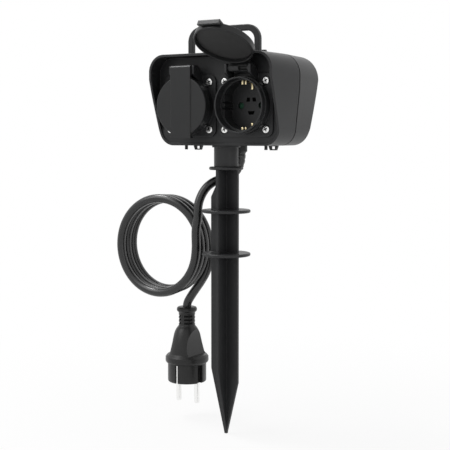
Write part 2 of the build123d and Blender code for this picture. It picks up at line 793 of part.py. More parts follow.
# Covers: a shallow cup that goes over the collar's rim, with a raised band from the
# hinge to the finger tab.
# The left one is shut, the right one stands open against the hood's edge.
for (side, x), angle in zip(sockets, (0.0, cover_open_angle)):
    with BuildPart() as cover:
        with BuildSketch(cover_plane(x, angle).offset(cover_inner - cover_rim_depth)):
            with Locations((0, -cover_drop)):
                Circle(cover_radius)
        extrude(amount=cover_rim_depth + cover_thick)
        fillet(cover.edges().filter_by(GeomType.CIRCLE), cover_edge_round)
        with BuildSketch(cover_plane(x, angle).offset(cover_inner - cover_rim_depth)):
            with Locations((0, -cover_drop)):
                Circle(cover_recess_radius)
        extrude(amount=cover_rim_depth, mode=Mode.SUBTRACT)
        with BuildSketch(cover_side(x, angle)):
            with BuildLine():
                Polyline(
                    (0, knuckle_radius), (cover_face - cover_band_bevel, knuckle_radius),
                    (cover_face, knuckle_radius - cover_band_bevel),
                    (cover_face, -cover_tab_drop), (cover_face - cover_tab_lip, -cover_tab_drop),
                    (cover_face - cover_tab_lip, cover_tab_thick - cover_tab_drop),
                    (cover_inner, cover_tab_thick - cover_tab_drop), (cover_inner, -knuckle_radius),
                    (0, -knuckle_radius), close=True,
                )
            make_face()
            Circle(knuckle_radius)
            Circle(hinge_pin_radius + running_gap, mode=Mode.SUBTRACT)
        extrude(amount=cover_band_width / 2, both=True)
        with BuildSketch(cover_side(x, angle)):
            with Locations((-knuckle_radius, -knuckle_radius)):
                Rectangle(2 * knuckle_radius, 2 * knuckle_radius)
        extrude(amount=-hinge_notch_width, mode=Mode.SUBTRACT)
    cover.part.label = f"cover_{side}"
    export_step(cover.part, f"parts/cover_{side}.step")

    # Sealing disc inside the cover, which meets the collar's rim
    with BuildPart() as cover_seal:
        with BuildSketch(cover_plane(x, angle).offset(cover_inner)):
            with Locations((0, -cover_drop)):
                Circle(cover_seal_radius)
        extrude(amount=-cover_seal_thick)
    cover_seal.part.label = f"cover_seal_{side}"
    export_step(cover_seal.part, f"parts/cover_seal_{side}.step")

# Sleeve under the head, pressed up through the front shell's floor
sleeve_low = stop_collar_z + collar_thick
with BuildPart() as spike_sleeve:
    with BuildSketch(Plane.XY.offset(sleeve_low)):
        Circle(sleeve_radius)
    extrude(amount=head_bottom - sleeve_low)
    with BuildSketch(Plane.XY.offset(head_bottom - sleeve_flange_thick)):
        Circle(sleeve_flange_radius)
    extrude(amount=sleeve_flange_thick)
    with BuildSketch(Plane.XY.offset(head_bottom)):
        Circle(sleeve_stub_radius)
    extrude(amount=sleeve_stub_length)
    with BuildSketch(Plane.XY.offset(sleeve_low)):
        Circle(sleeve_bore)
    extrude(amount=spike_stub + 1, mode=Mode.SUBTRACT)
spike_sleeve.part.label = "spike_sleeve"
export_step(spike_sleeve.part, "parts/spike_sleeve.step")


# One fin plate of the spike: its reach on the low and the high side,
# the stub in the sleeve, and the taper to the tip
def fin_outline(low_reach, high_reach, low_top_reach):
    slope = (long_fin - tip_half_width) / (spike_depth - taper_start)
    stub = sleeve_bore - stub_gap
    stub_top = sleeve_low + spike_stub
    low_taper = spike_depth - (low_reach - tip_half_width) / slope
    high_taper = spike_depth - (high_reach - tip_half_width) / slope
    points = [
        (-stub, stub_top), (-stub, stop_collar_z), (-low_top_reach, stop_collar_z),
        (-low_top_reach, cut_back_z), (-low_reach, cut_back_z - cut_back_drop),
        (-low_reach, -low_taper), (-tip_half_width, -spike_depth),
        (tip_half_width, -spike_depth), (high_reach, -high_taper), (high_reach, stop_collar_z),
        (stub, stop_collar_z), (stub, stub_top),
    ]
    return points


# The spike's stop collar under the sleeve and its two ground collars, all round-edged
with BuildPart() as collars:
    for level in collar_levels:
        with BuildSketch(Plane.XY.offset(level)):
            Circle(ground_collar_radius)
        extrude(amount=collar_thick)
    with BuildSketch(Plane.XY.offset(stop_collar_z)):
        Circle(stop_collar_radius)
    extrude(amount=collar_thick)
    fillet(collars.edges(), collar_thick * collar_round)

# Ground spike: two crossed fin plates through the collars
with BuildPart() as ground_spike:
    with BuildSketch(Plane.XZ):
        with BuildLine():
            Polyline(fin_outline(long_fin, short_fin, cut_back_fin), close=True)
        make_face()
    extrude(amount=fin_thick / 2, both=True)
    with BuildSketch(Plane.YZ):
        with BuildLine():
            Polyline(fin_outline(long_fin, short_fin, long_fin - 0.01), close=True)
        make_face()
    extrude(amount=fin_thick / 2, both=True)
    add(collars.part)
ground_spike.part.label = "ground_spike"
export_step(ground_spike.part, "parts/ground_spike.step")

# Cable gland through the rear shell's floor
gland_end_z = head_bottom - gland_length
with BuildPart() as cable_gland:
    with BuildSketch(Plane.XZ.offset(-gland_y)):
        with BuildLine():
            Polyline(
                (0, gland_end_z), (cord_radius + gland_throat_gap, gland_end_z), (gland_radius, gland_end_z + gland_taper),
                (gland_radius, head_bottom), (gland_stem_radius, head_bottom),
                (gland_stem_radius, head_bottom + shell_wall), (gland_ring_radius, head_bottom + shell_wall),
                (gland_ring_radius, head_bottom + shell_wall + gland_ring_thick),
                (0, head_bottom + shell_wall + gland_ring_thick), close=True,
            )
        make_face()
    revolve(axis=Axis((0, gland_y, 0), (0, 0, 1)))
cable_gland.part.label = "cable_gland"
export_step(cable_gland.part, "parts/cable_gland.step")


# Mains cord. A route is a list of corners along the cord, the lead's with their height
# as a share of its fall. Each corner is rounded as far as its two runs allow, and the
# coil's turns come from a formula.
def corner_radii(points):
    radii = []
    for before, corner, after in zip(points, points[1:], points[2:]):
        way_in = Vector(*corner) - Vector(*before)
        way_out = Vector(*after) - Vector(*corner)
        half_turn = radians(way_in.get_angle(way_out)) / 2
        radii.append(corner_share * min(way_in.length, way_out.length) / tan(half_turn))
    return radii


def coil_place(turn):
    radius = coil_radius + (coil_end_radius - coil_radius) * turn / coil_turns
    centre = coil_centre_x + coil_end_shift * turn / coil_turns
    angle = 2 * pi * turn
    depth = coil_front_y + coil_pitch * turn
    return Vector(centre + radius * cos(angle), depth, coil_centre_z - radius * sin(angle))


def coil_heading(turn):
    step = 1e-4
    return (coil_place(turn + step) - coil_place(turn - step)).normalized()


# The point where two arcs that leave start and reach end along the coil meet
def arcs_meet(start, end):
    first, first_way = coil_place(start), coil_heading(start)
    last, last_way = coil_place(end), coil_heading(end)
    gap = last - first
    a = 2 * (first_way.dot(last_way) - 1)
    b = -2 * gap.dot(first_way + last_way)
    c = gap.dot(gap)
    reach = (-b - sqrt(b * b - 4 * a * c)) / (2 * a)
    return (first + first_way * reach + last - last_way * reach) * 0.5


straight_end = 2 * cord_radius
coil_start = coil_place(0) - coil_heading(0) * straight_end
coil_finish = coil_place(coil_turns) + coil_heading(coil_turns) * straight_end
lead_last = coil_start - coil_heading(0) * lead_run_in
tail_first = coil_finish + coil_heading(coil_turns) * tail_run_out
lead_shape = [
    (0.0, 21.0, 0.916), (-2.6, 20.2, 0.821), (-8.0, 18.5, 0.748), (-15.2, 16.3, 0.719),
    (-22.0, 11.4, 0.670), (-26.9, 7.1, 0.583), (-29.7, 2.8, 0.434), (-28.8, 1.3, 0.283),
]
lead_fall = gland_end_z - coil_start.Z
lead_route = [(0.0, gland_y, gland_end_z)]
lead_route += [(x, y, coil_start.Z + share * lead_fall) for x, y, share in lead_shape]
lead_route += [tuple(lead_last), tuple(coil_start)]
tail_route = [
    tuple(coil_finish),
    tuple(tail_first),
    (-38.4, 27.6, -19.8),
    (-42.8, 28.2, -26.0),
    (-49.2, 29.2, -30.8),
    (-55.0, 28.9, -37.8),
    (plug_x, plug_y, -46.5),
    (plug_x, plug_y, plug_top_z),
]
print("lead radii", [round(radius, 1) for radius in corner_radii(lead_route)])
print("tail radii", [round(radius, 1) for radius in corner_radii(tail_route)])

for name, route in (("cord_lead", lead_route), ("cord_tail", tail_route)):
    with BuildPart() as stretch:
        with BuildLine() as path:
            FilletPolyline(*route, radius=corner_radii(route))
        start = Vector(*route[0])
        with BuildSketch(Plane(origin=start, z_dir=Vector(*route[1]) - start)):
            Circle(cord_radius)
        sweep(path=path.wires()[0])
    stretch.part.label = name
    export_step(stretch.part, f"parts/{name}.step")
    length = path.wires()[0].length
    share = stretch.part.volume / (pi * cord_radius**2 * length)
    print(name, "length", round(length, 1), "volume share", round(share, 4))

with BuildPart() as cord_coil:
    with BuildLine() as coil_path:
        Line(coil_start, coil_place(0))
        for quarter in range(4 * coil_turns):
            start, end = quarter / 4, (quarter + 1) / 4
            middle = arcs_meet(start, end)
            TangentArc(coil_place(start), middle, tangent=coil_heading(start))
            TangentArc(middle, coil_place(end), tangent=-coil_heading(end), tangent_from_first=False)
        Line(coil_place(coil_turns), coil_finish)
    with BuildSketch(Plane(origin=coil_start, z_dir=coil_heading(0))):
        Circle(cord_radius)
    sweep(path=coil_path.wires()[0])
cord_coil.part.label = "cord_coil"
export_step(cord_coil.part, "parts/cord_coil.step")
coil_length = coil_path.wires()[0].length
coil_share = cord_coil.part.volume / (pi * cord_radius**2 * coil_length)
print("coil length", round(coil_length, 1), "volume share", round(coil_share, 4))

# Least gap between neighbouring turns, measured on points along the coil's centre line
samples = [coil_place(step / 72) for step in range(72 * coil_turns + 1)]
gaps = [
    (samples[i] - samples[j]).length - 2 * cord_radius
    for i in range(len(samples)) for j in range(i + 36, len(samples))
]
print("least gap in the coil", round(min(gaps), 2))

# Plug: bead, slotted neck, bell-shaped body with two finger scoops, flange and round face
plug_neck_z = plug_top_z - plug_bead_height
plug_body_z = plug_neck_z - plug_neck_length
plug_flange_z = plug_body_z - plug_body_length
plug_face_z = plug_flange_z - plug_flange_height
plug_end_z = plug_face_z - plug_face_length
with BuildPart() as plug_body:
    with BuildSketch(Plane.XZ.offset(-plug_y)) as profile:
        with BuildLine():
            Polyline(
                (plug_x, plug_end_z), (plug_x, plug_top_z), (plug_x + plug_bead_radius, plug_top_z),
                (plug_x + plug_bead_radius, plug_neck_z), (plug_x + plug_neck_radius, plug_neck_z),
                (plug_x + plug_neck_radius, plug_body_z),
                (plug_x + plug_shoulder_radius, plug_body_z - plug_shoulder_drop),
                (plug_x + plug_body_radius, plug_flange_z),
                (plug_x + plug_flange_radius, plug_flange_z - plug_flange_cone),
                (plug_x + plug_flange_radius, plug_flange_z - plug_flange_cone - plug_flange_side),
                (plug_x + plug_face_radius, plug_face_z),
                (plug_x + plug_face_radius, plug_end_z), (plug_x, plug_end_z),
            )
        make_face()
        corners = profile.vertices().filter_by_position(Axis.X, plug_x + near, plug_x + plug_flange_radius + near)
        shoulder = corners.filter_by_position(Axis.Y, plug_body_z - plug_shoulder_drop - near, plug_body_z + near)
        bead = corners.filter_by_position(Axis.Y, plug_neck_z - near, plug_top_z + near).sort_by(Axis.X)[-2:]
        rim = corners.sort_by(Axis.X)[-2:] + corners.group_by(Axis.Y)[0]
        fillet(shoulder, plug_shoulder_drop / 2)
        fillet(bead, plug_bead_round)
        fillet(rim, plug_edge)
    revolve(axis=Axis((plug_x, plug_y, 0), (0, 0, 1)))
    for rib in range(rib_count):
        with BuildSketch(Plane.XY.offset(plug_neck_z - rib_first - rib * rib_pitch)):
            with Locations((plug_x, plug_y)):
                Circle(plug_neck_radius + 1)
                Circle(plug_neck_radius - rib_depth, mode=Mode.SUBTRACT)
                Rectangle(plug_web_width, 3 * plug_neck_radius, mode=Mode.SUBTRACT)
                Rectangle(3 * plug_neck_radius, plug_web_width, mode=Mode.SUBTRACT)
        extrude(amount=-rib_width, mode=Mode.SUBTRACT)
    with BuildSketch(Plane.XY.offset(plug_end_z)):
        with Locations((plug_x, plug_y)):
            with GridLocations(2 * plug_face_radius, 0, 2, 1):
                Rectangle(2 * plug_key_depth, plug_key_width)
            with GridLocations(0, 2 * plug_face_radius, 1, 2):
                Rectangle(earth_slot_width, 2 * earth_slot_depth)
    extrude(amount=plug_face_length, mode=Mode.SUBTRACT)
    for way in (-1, 1):
        with BuildSketch(Plane.XZ.offset(-plug_y)):
            with Locations((plug_x + way * (grip_depth + grip_radius), plug_flange_z + plug_body_length / 2)):
                Circle(grip_radius)
            with Locations((plug_x + way * plug_flange_radius, plug_flange_z + plug_body_length / 2)):
                Rectangle(2 * plug_flange_radius, plug_body_length, mode=Mode.INTERSECT)
        extrude(amount=plug_flange_radius, both=True, mode=Mode.SUBTRACT)
plug_body.part.label = "plug_body"
export_step(plug_body.part, "parts/plug_body.step")

with BuildPart() as plug_pins:
    with BuildSketch(Plane.XY.offset(plug_end_z)):
        with Locations((plug_x, plug_y)):
            with GridLocations(pin_spacing, 0, 2, 1):
                Circle(plug_pin_radius)
    extrude(amount=-plug_pin_length)
    fillet(plug_pins.faces().sort_by(Axis.Z)[:2].edges(), plug_pin_round)
plug_pins.part.label = "plug_pins"
export_step(plug_pins.part, "parts/plug_pins.step")

with BuildPart() as plug_earth_strips:
    with BuildSketch(Plane.XY.offset(plug_end_z)):
        with Locations((plug_x, plug_y)):
            with GridLocations(0, 2 * (plug_face_radius - earth_slot_depth) + earth_strip_thick, 1, 2):
                Rectangle(earth_strip_width, earth_strip_thick)
    extrude(amount=plug_face_length)
plug_earth_strips.part.label = "plug_earth_strips"
export_step(plug_earth_strips.part, "parts/plug_earth_strips.step")


# Day timer. Everything about its axis is drawn in planes that face the back.
def timer_plane(y, x=0.0, z=0.0):
    return facing_back(y, x, timer_z + z)


ring_pitch_radius = ring_teeth * tooth_module / 2
pinion_pitch_radius = pinion_teeth * tooth_module / 2
pinion_offset = ring_pitch_radius - pinion_pitch_radius
tooth_width = pi * tooth_module * tooth_share

# Timer body: bezel, round case, the dial's well with its arbor, hinge ears on top
with BuildPart() as timer_body:
    with BuildSketch(timer_plane(rear_panel_y)):
        RectangleRounded(timer_width, timer_height, timer_corner)
    extrude(amount=timer_bezel_thick)
    with BuildSketch(timer_plane(rear_panel_y)):
        Circle(timer_case_radius)
    extrude(amount=-timer_case_depth)
    with BuildSketch(timer_plane(timer_face_y)):
        Circle(timer_well_radius)
    extrude(amount=timer_floor_y - timer_face_y, mode=Mode.SUBTRACT)
    with BuildSketch(timer_plane(timer_end_y)):
        Circle(timer_chamber_radius)
    extrude(amount=timer_chamber_y - timer_end_y, mode=Mode.SUBTRACT)
    with BuildSketch(timer_plane(timer_floor_y)):
        Circle(arbor_radius)
    extrude(amount=dial_face_y + pointer_gap - timer_floor_y)
    with BuildSketch(timer_plane(timer_floor_y, z=pinion_offset)):
        Circle(pinion_shaft_radius + running_gap)
    extrude(amount=-timer_floor_thick, mode=Mode.SUBTRACT)
    with BuildSketch(timer_plane(timer_face_y)):
        with GridLocations(2 * timer_screw_x, 2 * timer_screw_z, 2, 2):
            Circle(timer_screw_radius + running_gap)
    extrude(amount=-timer_bezel_thick, mode=Mode.SUBTRACT)
    with BuildSketch(timer_plane(timer_face_y, switch_x + switch_travel / 2, -switch_drop)):
        Rectangle(switch_stem_width + switch_travel + 2 * switch_gap, switch_stem_height + 2 * switch_gap)
    extrude(amount=-switch_stem_depth - switch_gap, mode=Mode.SUBTRACT)
    for way in (-1, 1):
        ear_x = way * (timer_knuckle_length / 2 + hinge_side_gap + timer_ear_thick / 2)
        with BuildSketch(Plane.YZ.offset(ear_x - timer_ear_thick / 2)):
            with Locations((timer_hinge_y, timer_hinge_z)):
                Circle(timer_knuckle_radius)
            with Locations((rear_panel_y + timer_bezel_thick / 2, timer_hinge_z - timer_ear_root_shift)):
                Rectangle(timer_bezel_thick, 2 * timer_hinge_rise)
            make_hull()
            with Locations((timer_hinge_y, timer_hinge_z)):
                Circle(timer_pin_radius + press_gap, mode=Mode.SUBTRACT)
        extrude(amount=timer_ear_thick)
timer_body.part.label = "timer_body"
export_step(timer_body.part, "parts/timer_body.step")

# Cap that closes the timer's rear chamber
with BuildPart() as timer_back:
    with BuildSketch(timer_plane(timer_end_y)):
        Circle(timer_chamber_radius - running_gap)
    extrude(amount=timer_back_thick)
timer_back.part.label = "timer_back"
export_step(timer_back.part, "parts/timer_back.step")

# Small clock motor between the cap and the well's floor
with BuildPart() as timer_motor:
    with BuildSketch(timer_plane(timer_end_y + timer_back_thick, z=pinion_offset)):
        Circle(motor_radius)
    extrude(amount=timer_chamber_y - timer_end_y - timer_back_thick)
timer_motor.part.label = "timer_motor"
export_step(timer_motor.part, "parts/timer_motor.step")

# Micro switch that the tappets work, also between the cap and the floor
with BuildPart() as timer_microswitch:
    with BuildSketch(timer_plane(timer_end_y + timer_back_thick, micro_switch_x, -micro_switch_drop)):
        Rectangle(micro_switch_width, micro_switch_height)
    extrude(amount=timer_chamber_y - timer_end_y - timer_back_thick)
timer_microswitch.part.label = "timer_microswitch"
export_step(timer_microswitch.part, "parts/timer_microswitch.step")

# Pinion on the motor's shaft, which drives the dial's inner ring of teeth
with BuildPart() as timer_pinion:
    with BuildSketch(timer_plane(timer_floor_y + pinion_lift, z=pinion_offset)):
        Circle(pinion_pitch_radius - tooth_root)
        with PolarLocations(pinion_pitch_radius, pinion_teeth, start_angle=90):
            with Locations(((tooth_reach - tooth_root - tooth_sink) / 2, 0)):
                Rectangle(tooth_root + tooth_reach + tooth_sink, tooth_width)
        Circle(pinion_pitch_radius + tooth_reach, mode=Mode.INTERSECT)
    extrude(amount=pinion_width)
    with BuildSketch(timer_plane(timer_chamber_y + pinion_end_gap, z=pinion_offset)):
        Circle(pinion_shaft_radius)
    extrude(amount=timer_floor_y + pinion_lift - timer_chamber_y - pinion_end_gap)
timer_pinion.part.label = "timer_pinion"
export_step(timer_pinion.part, "parts/timer_pinion.step")

# Dial: a face disc with a skirt, toothed inside
with BuildPart() as timer_dial:
    with BuildSketch(timer_plane(dial_face_y)):
        Circle(dial_radius)
    extrude(amount=-dial_face_thick)
    with BuildSketch(timer_plane(dial_face_y - dial_face_thick)):
        Circle(dial_radius)
        Circle(ring_pitch_radius + tooth_root, mode=Mode.SUBTRACT)
        with PolarLocations(ring_pitch_radius, ring_teeth, start_angle=180 / ring_teeth):
            with Locations(((tooth_root - tooth_reach + ring_tooth_sink) / 2, 0)):
                Rectangle(tooth_root + tooth_reach + ring_tooth_sink, tooth_width)
    extrude(amount=-dial_skirt_depth)
    with BuildSketch(timer_plane(dial_face_y)):
        Circle(arbor_radius + running_gap)
    extrude(amount=-dial_face_thick, mode=Mode.SUBTRACT)
timer_dial.part.label = "timer_dial"
export_step(timer_dial.part, "parts/timer_dial.step")

# Tappets standing round the dial's face, one run of them pressed down
with BuildPart() as timer_tappets:
    for pressed, rise in ((False, tappet_rise), (True, tappet_pressed_rise)):
        with BuildSketch(timer_plane(dial_face_y)):
            for step in range(tappet_count):
                if (pressed_first <= step <= pressed_last) == pressed:
                    with PolarLocations(tappet_radius, 1, start_angle=360 * step / tappet_count):
                        Rectangle(tappet_depth, tappet_width)
        extrude(amount=rise)
timer_tappets.part.label = "timer_tappets"
export_step(timer_tappets.part, "parts/timer_tappets.step")

# Fixed pointer on the end of the arbor
with BuildPart() as timer_pointer:
    with BuildSketch(timer_plane(dial_face_y + pointer_gap)):
        Circle(pointer_radius)
        Trapezoid(pointer_radius, pointer_reach, pointer_slant, align=(Align.CENTER, Align.MIN))
    extrude(amount=pointer_thick)
timer_pointer.part.label = "timer_pointer"
export_step(timer_pointer.part, "parts/timer_pointer.step")

# Slide switch beside the dial, its stem in the bezel's slot
with BuildPart() as timer_switch:
    with BuildSketch(timer_plane(timer_face_y + switch_lift, switch_x, -switch_drop)):
        RectangleRounded(switch_width, switch_height, switch_corner)
    extrude(amount=switch_rise)
    with BuildSketch(timer_plane(timer_face_y - switch_stem_depth, switch_x, -switch_drop)):
        Rectangle(switch_stem_width, switch_stem_height)
    extrude(amount=switch_stem_depth + switch_lift)
timer_switch.part.label = "timer_switch"
export_step(timer_switch.part, "parts/timer_switch.step")

# Four screws through the bezel into the rear panel
with BuildPart() as timer_screws:
    with BuildSketch(timer_plane(timer_face_y)):
        with GridLocations(2 * timer_screw_x, 2 * timer_screw_z, 2, 2):
            Circle(timer_screw_radius)
    extrude(amount=-timer_screw_length)
    with BuildSketch(timer_plane(timer_face_y)):
        with GridLocations(2 * timer_screw_x, 2 * timer_screw_z, 2, 2):
            Circle(timer_screw_head)
    extrude(amount=timer_screw_head_height)
    fillet(timer_screws.faces().group_by(Axis.Y)[-1].edges(), timer_screw_head_height / 2)
timer_screws.part.label = "timer_screws"
export_step(timer_screws.part, "parts/timer_screws.step")

# Clear hinged cover over the dial
cover_rim_y = timer_face_y + timer_cover_lift
cover_front_y = cover_rim_y + timer_cover_depth
with BuildPart() as timer_cover:
    with BuildSketch(timer_plane(cover_rim_y)):
        RectangleRounded(timer_cover_width, timer_cover_height, timer_cover_corner)
    extrude(amount=timer_cover_depth)
    fillet(timer_cover.faces().sort_by(Axis.Y)[-1].edges(), timer_cover_round)
    with BuildSketch(timer_plane(cover_rim_y)):
        RectangleRounded(
            timer_cover_width - 2 * timer_cover_wall, timer_cover_height - 2 * timer_cover_wall,
            timer_cover_corner - timer_cover_wall,
        )
    extrude(amount=timer_cover_depth - timer_cover_wall, mode=Mode.SUBTRACT)
    with BuildSketch(Plane.YZ):
        with Locations((timer_hinge_y, timer_hinge_z)):
            Circle(timer_knuckle_radius)
        with Locations((cover_front_y, timer_z + timer_cover_height / 2)):
            Rectangle(timer_cover_web, timer_cover_wall, align=Align.MAX)
        make_hull()
        with Locations((timer_hinge_y, timer_hinge_z)):
            Circle(timer_pin_radius + running_gap, mode=Mode.SUBTRACT)
    extrude(amount=timer_knuckle_length / 2, both=True)
    with BuildSketch(timer_plane(cover_front_y - timer_cover_tab_set, z=-timer_cover_height / 2)):
        Rectangle(timer_cover_tab, 2 * timer_cover_tab_drop)
        with Locations((0, timer_cover_wall / 2 + timer_cover_tab_drop)):
            Rectangle(timer_cover_tab, 2 * timer_cover_tab_drop, mode=Mode.SUBTRACT)
    extrude(amount=-timer_cover_tab_thick)
timer_cover.part.label = "timer_cover"
export_step(timer_cover.part, "parts/timer_cover.step")

# Steel pin through the timer's ears and its cover
with BuildPart() as timer_cover_pin:
    with BuildSketch(Plane.YZ):
        with Locations((timer_hinge_y, timer_hinge_z)):
            Circle(timer_pin_radius)
    extrude(amount=timer_knuckle_length / 2 + hinge_side_gap + timer_ear_thick, both=True)
timer_cover_pin.part.label = "timer_cover_pin"
export_step(timer_cover_pin.part, "parts/timer_cover_pin.step")

# Terminal block on the floor, one wire entry and one clamp screw to each pole
floor_top_z = head_bottom + shell_wall
pole_pitch = terminal_width / terminal_poles
with BuildPart() as terminal_block:
    with Locations((terminal_x, terminal_y, floor_top_z)):
        Box(terminal_width, terminal_depth, terminal_height, align=(Align.CENTER, Align.CENTER, Align.MIN))
    with BuildSketch(facing_front(terminal_y - terminal_depth / 2, terminal_x, floor_top_z)):
        with Locations((0, terminal_height / 2)), GridLocations(pole_pitch, 0, terminal_poles, 1):
            Circle(terminal_bore_radius)
    extrude(amount=-terminal_depth, mode=Mode.SUBTRACT)
    with BuildSketch(Plane.XY.offset(floor_top_z + terminal_height)):
        with Locations((terminal_x, terminal_y)):
            with GridLocations(pole_pitch, 0, terminal_poles, 1):
                Circle(terminal_screw_radius)
    extrude(amount=-terminal_screw_depth, mode=Mode.SUBTRACT)
terminal_block.part.label = "terminal_block"
export_step(terminal_block.part, "parts/terminal_block.step")
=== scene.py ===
import bpy
import json
from math import cos, pi, radians, sin
from mathutils import Matrix, Vector


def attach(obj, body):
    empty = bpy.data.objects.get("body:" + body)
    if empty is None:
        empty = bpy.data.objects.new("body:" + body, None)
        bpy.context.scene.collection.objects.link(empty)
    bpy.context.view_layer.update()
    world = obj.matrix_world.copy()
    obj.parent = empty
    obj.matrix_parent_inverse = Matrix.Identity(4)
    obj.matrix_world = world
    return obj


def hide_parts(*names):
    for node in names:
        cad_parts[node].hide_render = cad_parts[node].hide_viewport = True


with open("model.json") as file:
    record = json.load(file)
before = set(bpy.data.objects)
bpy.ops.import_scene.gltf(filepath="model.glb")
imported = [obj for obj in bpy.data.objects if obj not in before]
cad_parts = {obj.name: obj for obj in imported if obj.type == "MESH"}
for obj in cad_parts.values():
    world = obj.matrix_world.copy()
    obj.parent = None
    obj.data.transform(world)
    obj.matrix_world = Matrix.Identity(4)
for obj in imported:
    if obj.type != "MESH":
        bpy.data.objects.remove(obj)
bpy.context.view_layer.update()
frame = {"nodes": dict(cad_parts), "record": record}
scene = bpy.context.scene
print("frame loaded,", len(frame["nodes"]), "nodes")

sockets = {"x": (-0.0263, 0.0263), "z": 0.1225}  # centre lines that several pieces share


# Camera at the photograph's place, fitted to the sockets and the hood
cameraSettings = {
    "place": (0.46201, -0.74276, 0.09902),
    "right": (0.84854, 0.52914, 0.0),
    "up": (-0.04441, 0.07121, 0.99647),
    "back": (0.52727, -0.84554, 0.08392),
    "lens": 85.43,
    "sensor": 36.0,
    "nearClip": 0.01,
}


def addCamera(settings):
    data = bpy.data.cameras.new("viewCamera")
    data.lens = settings["lens"]
    data.sensor_width = settings["sensor"]
    data.clip_start = settings["nearClip"]
    camera = bpy.data.objects.new("viewCamera", data)
    scene.collection.objects.link(camera)
    columns = [Vector(settings[name]) for name in ("right", "up", "back", "place")]
    camera.matrix_world = Matrix([[column[row] for column in columns] for row in range(3)] + [[0, 0, 0, 1]])
    scene.camera = camera


addCamera(cameraSettings)
print("camera set")


# Mains cord: one spline through the lead, three turns of the coil and the tail
cordSettings = {
    "diameter": 0.0075,
    "length": 0.92,
    "exit": (0.0, 0.021, 0.0834),
    "lead": [
        (0.0, 0.021, 0.0834), (0.0, 0.021, 0.0772), (-0.0026, 0.0202, 0.0702), (-0.008, 0.0185, 0.0648),
        (-0.0152, 0.0163, 0.0626), (-0.022, 0.0114, 0.059), (-0.0269, 0.0071, 0.0526),
        (-0.0297, 0.0028, 0.0416), (-0.0285, 0.0013, 0.0312), (-0.0296, -0.0006, 0.0205),
        (-0.0296, -0.0003, 0.0115),
    ],
    "tail": [
        (-0.034, 0.0273, -0.0035), (-0.0348, 0.0275, -0.0126), (-0.0384, 0.0278, -0.0208),
        (-0.0438, 0.0282, -0.0285), (-0.0502, 0.0288, -0.0362), (-0.0556, 0.0288, -0.0435),
        (-0.0584, 0.0286, -0.0485), (-0.0584, 0.0285, -0.0525),
    ],
    "coilCentre": (-0.0707, 0.0043),
    "coilShift": -0.0029,
    "coilRadius": (0.0411, 0.0396),
    "coilTurns": 3,
    "coilPitch": 0.009,
    "pointsPerTurn": 24,
    "curveSteps": 8,
    "roundSteps": 8,
}


def coilPoint(settings, turn):
    share = turn / settings["coilTurns"]
    first, last = settings["coilRadius"]
    radius = first + (last - first) * share
    centreX, centreZ = settings["coilCentre"]
    angle = 2 * pi * turn
    x = centreX + settings["coilShift"] * share + radius * cos(angle)
    return (x, settings["coilPitch"] * turn, centreZ - radius * sin(angle))


def addCord(settings):
    steps = settings["coilTurns"] * settings["pointsPerTurn"]
    turns = [coilPoint(settings, step / settings["pointsPerTurn"]) for step in range(steps + 1)]
    route = settings["lead"] + turns + settings["tail"]
    curve = bpy.data.curves.new("mainsCord", "CURVE")
    curve.dimensions = "3D"
    spline = curve.splines.new("NURBS")
    spline.points.add(len(route) - 1)
    for point, place in zip(spline.points, route):
        point.co = (*place, 1.0)
        point.radius = settings["diameter"] / 2
    spline.order_u = 3
    spline.use_endpoint_u = True
    spline.resolution_u = settings["curveSteps"]
    cord = bpy.data.objects.new("mainsCord", curve)
    scene.collection.objects.link(cord)
    line = bpy.data.meshes.new_from_object(cord)
    middle = [vertex.co.copy() for vertex in line.vertices]
    bpy.data.meshes.remove(line)
    curve.bevel_depth = 1.0  # times each point's radius
    curve.bevel_resolution = settings["roundSteps"]
    curve.use_fill_caps = True
    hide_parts("cord_lead", "cord_coil", "cord_tail")
    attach(cord, "housing")
    return cord, middle


mainsCord, cordMiddle = addCord(cordSettings)
print("cord wound")


# Materials
def startMaterial(name):
    material = bpy.data.materials.new(name)
    material.use_nodes = True
    shader = material.node_tree.nodes["Principled BSDF"]
    return material, material.node_tree, shader


def addNoise(tree, coordinates, scale, detail):
    noise = tree.nodes.new("ShaderNodeTexNoise")
    noise.inputs["Scale"].default_value = scale
    noise.inputs["Detail"].default_value = detail
    tree.links.new(coordinates, noise.inputs["Vector"])
    return noise.outputs["Fac"]


rampEnds = (0.3, 0.7)


def addRamp(tree, source, low, high):
    ramp = tree.nodes.new("ShaderNodeValToRGB")
    for element, tone, position in zip(ramp.color_ramp.elements, (low, high), rampEnds):
        element.color = (*tone, 1)
        element.position = position
    tree.links.new(source, ramp.inputs["Fac"])
    return ramp.outputs["Color"]


def addRange(tree, source, low, high):
    spread = tree.nodes.new("ShaderNodeMapRange")
    spread.inputs["To Min"].default_value = low
    spread.inputs["To Max"].default_value = high
    tree.links.new(source, spread.inputs["Value"])
    return spread.outputs["Result"]


def addBump(tree, shader, source, strength, height):
    bump = tree.nodes.new("ShaderNodeBump")
    bump.inputs["Strength"].default_value = strength
    bump.inputs["Distance"].default_value = height
    tree.links.new(source, bump.inputs["Height"])
    tree.links.new(bump.outputs["Normal"], shader.inputs["Normal"])
    return bump


# Moulded plastic or rubber: a faint cloudiness in colour and gloss over a fine grain
mouldedSettings = {"cloudDetail": 3.0, "grainDetail": 4.0, "glossSpread": 0.05, "edgeSamples": 6}


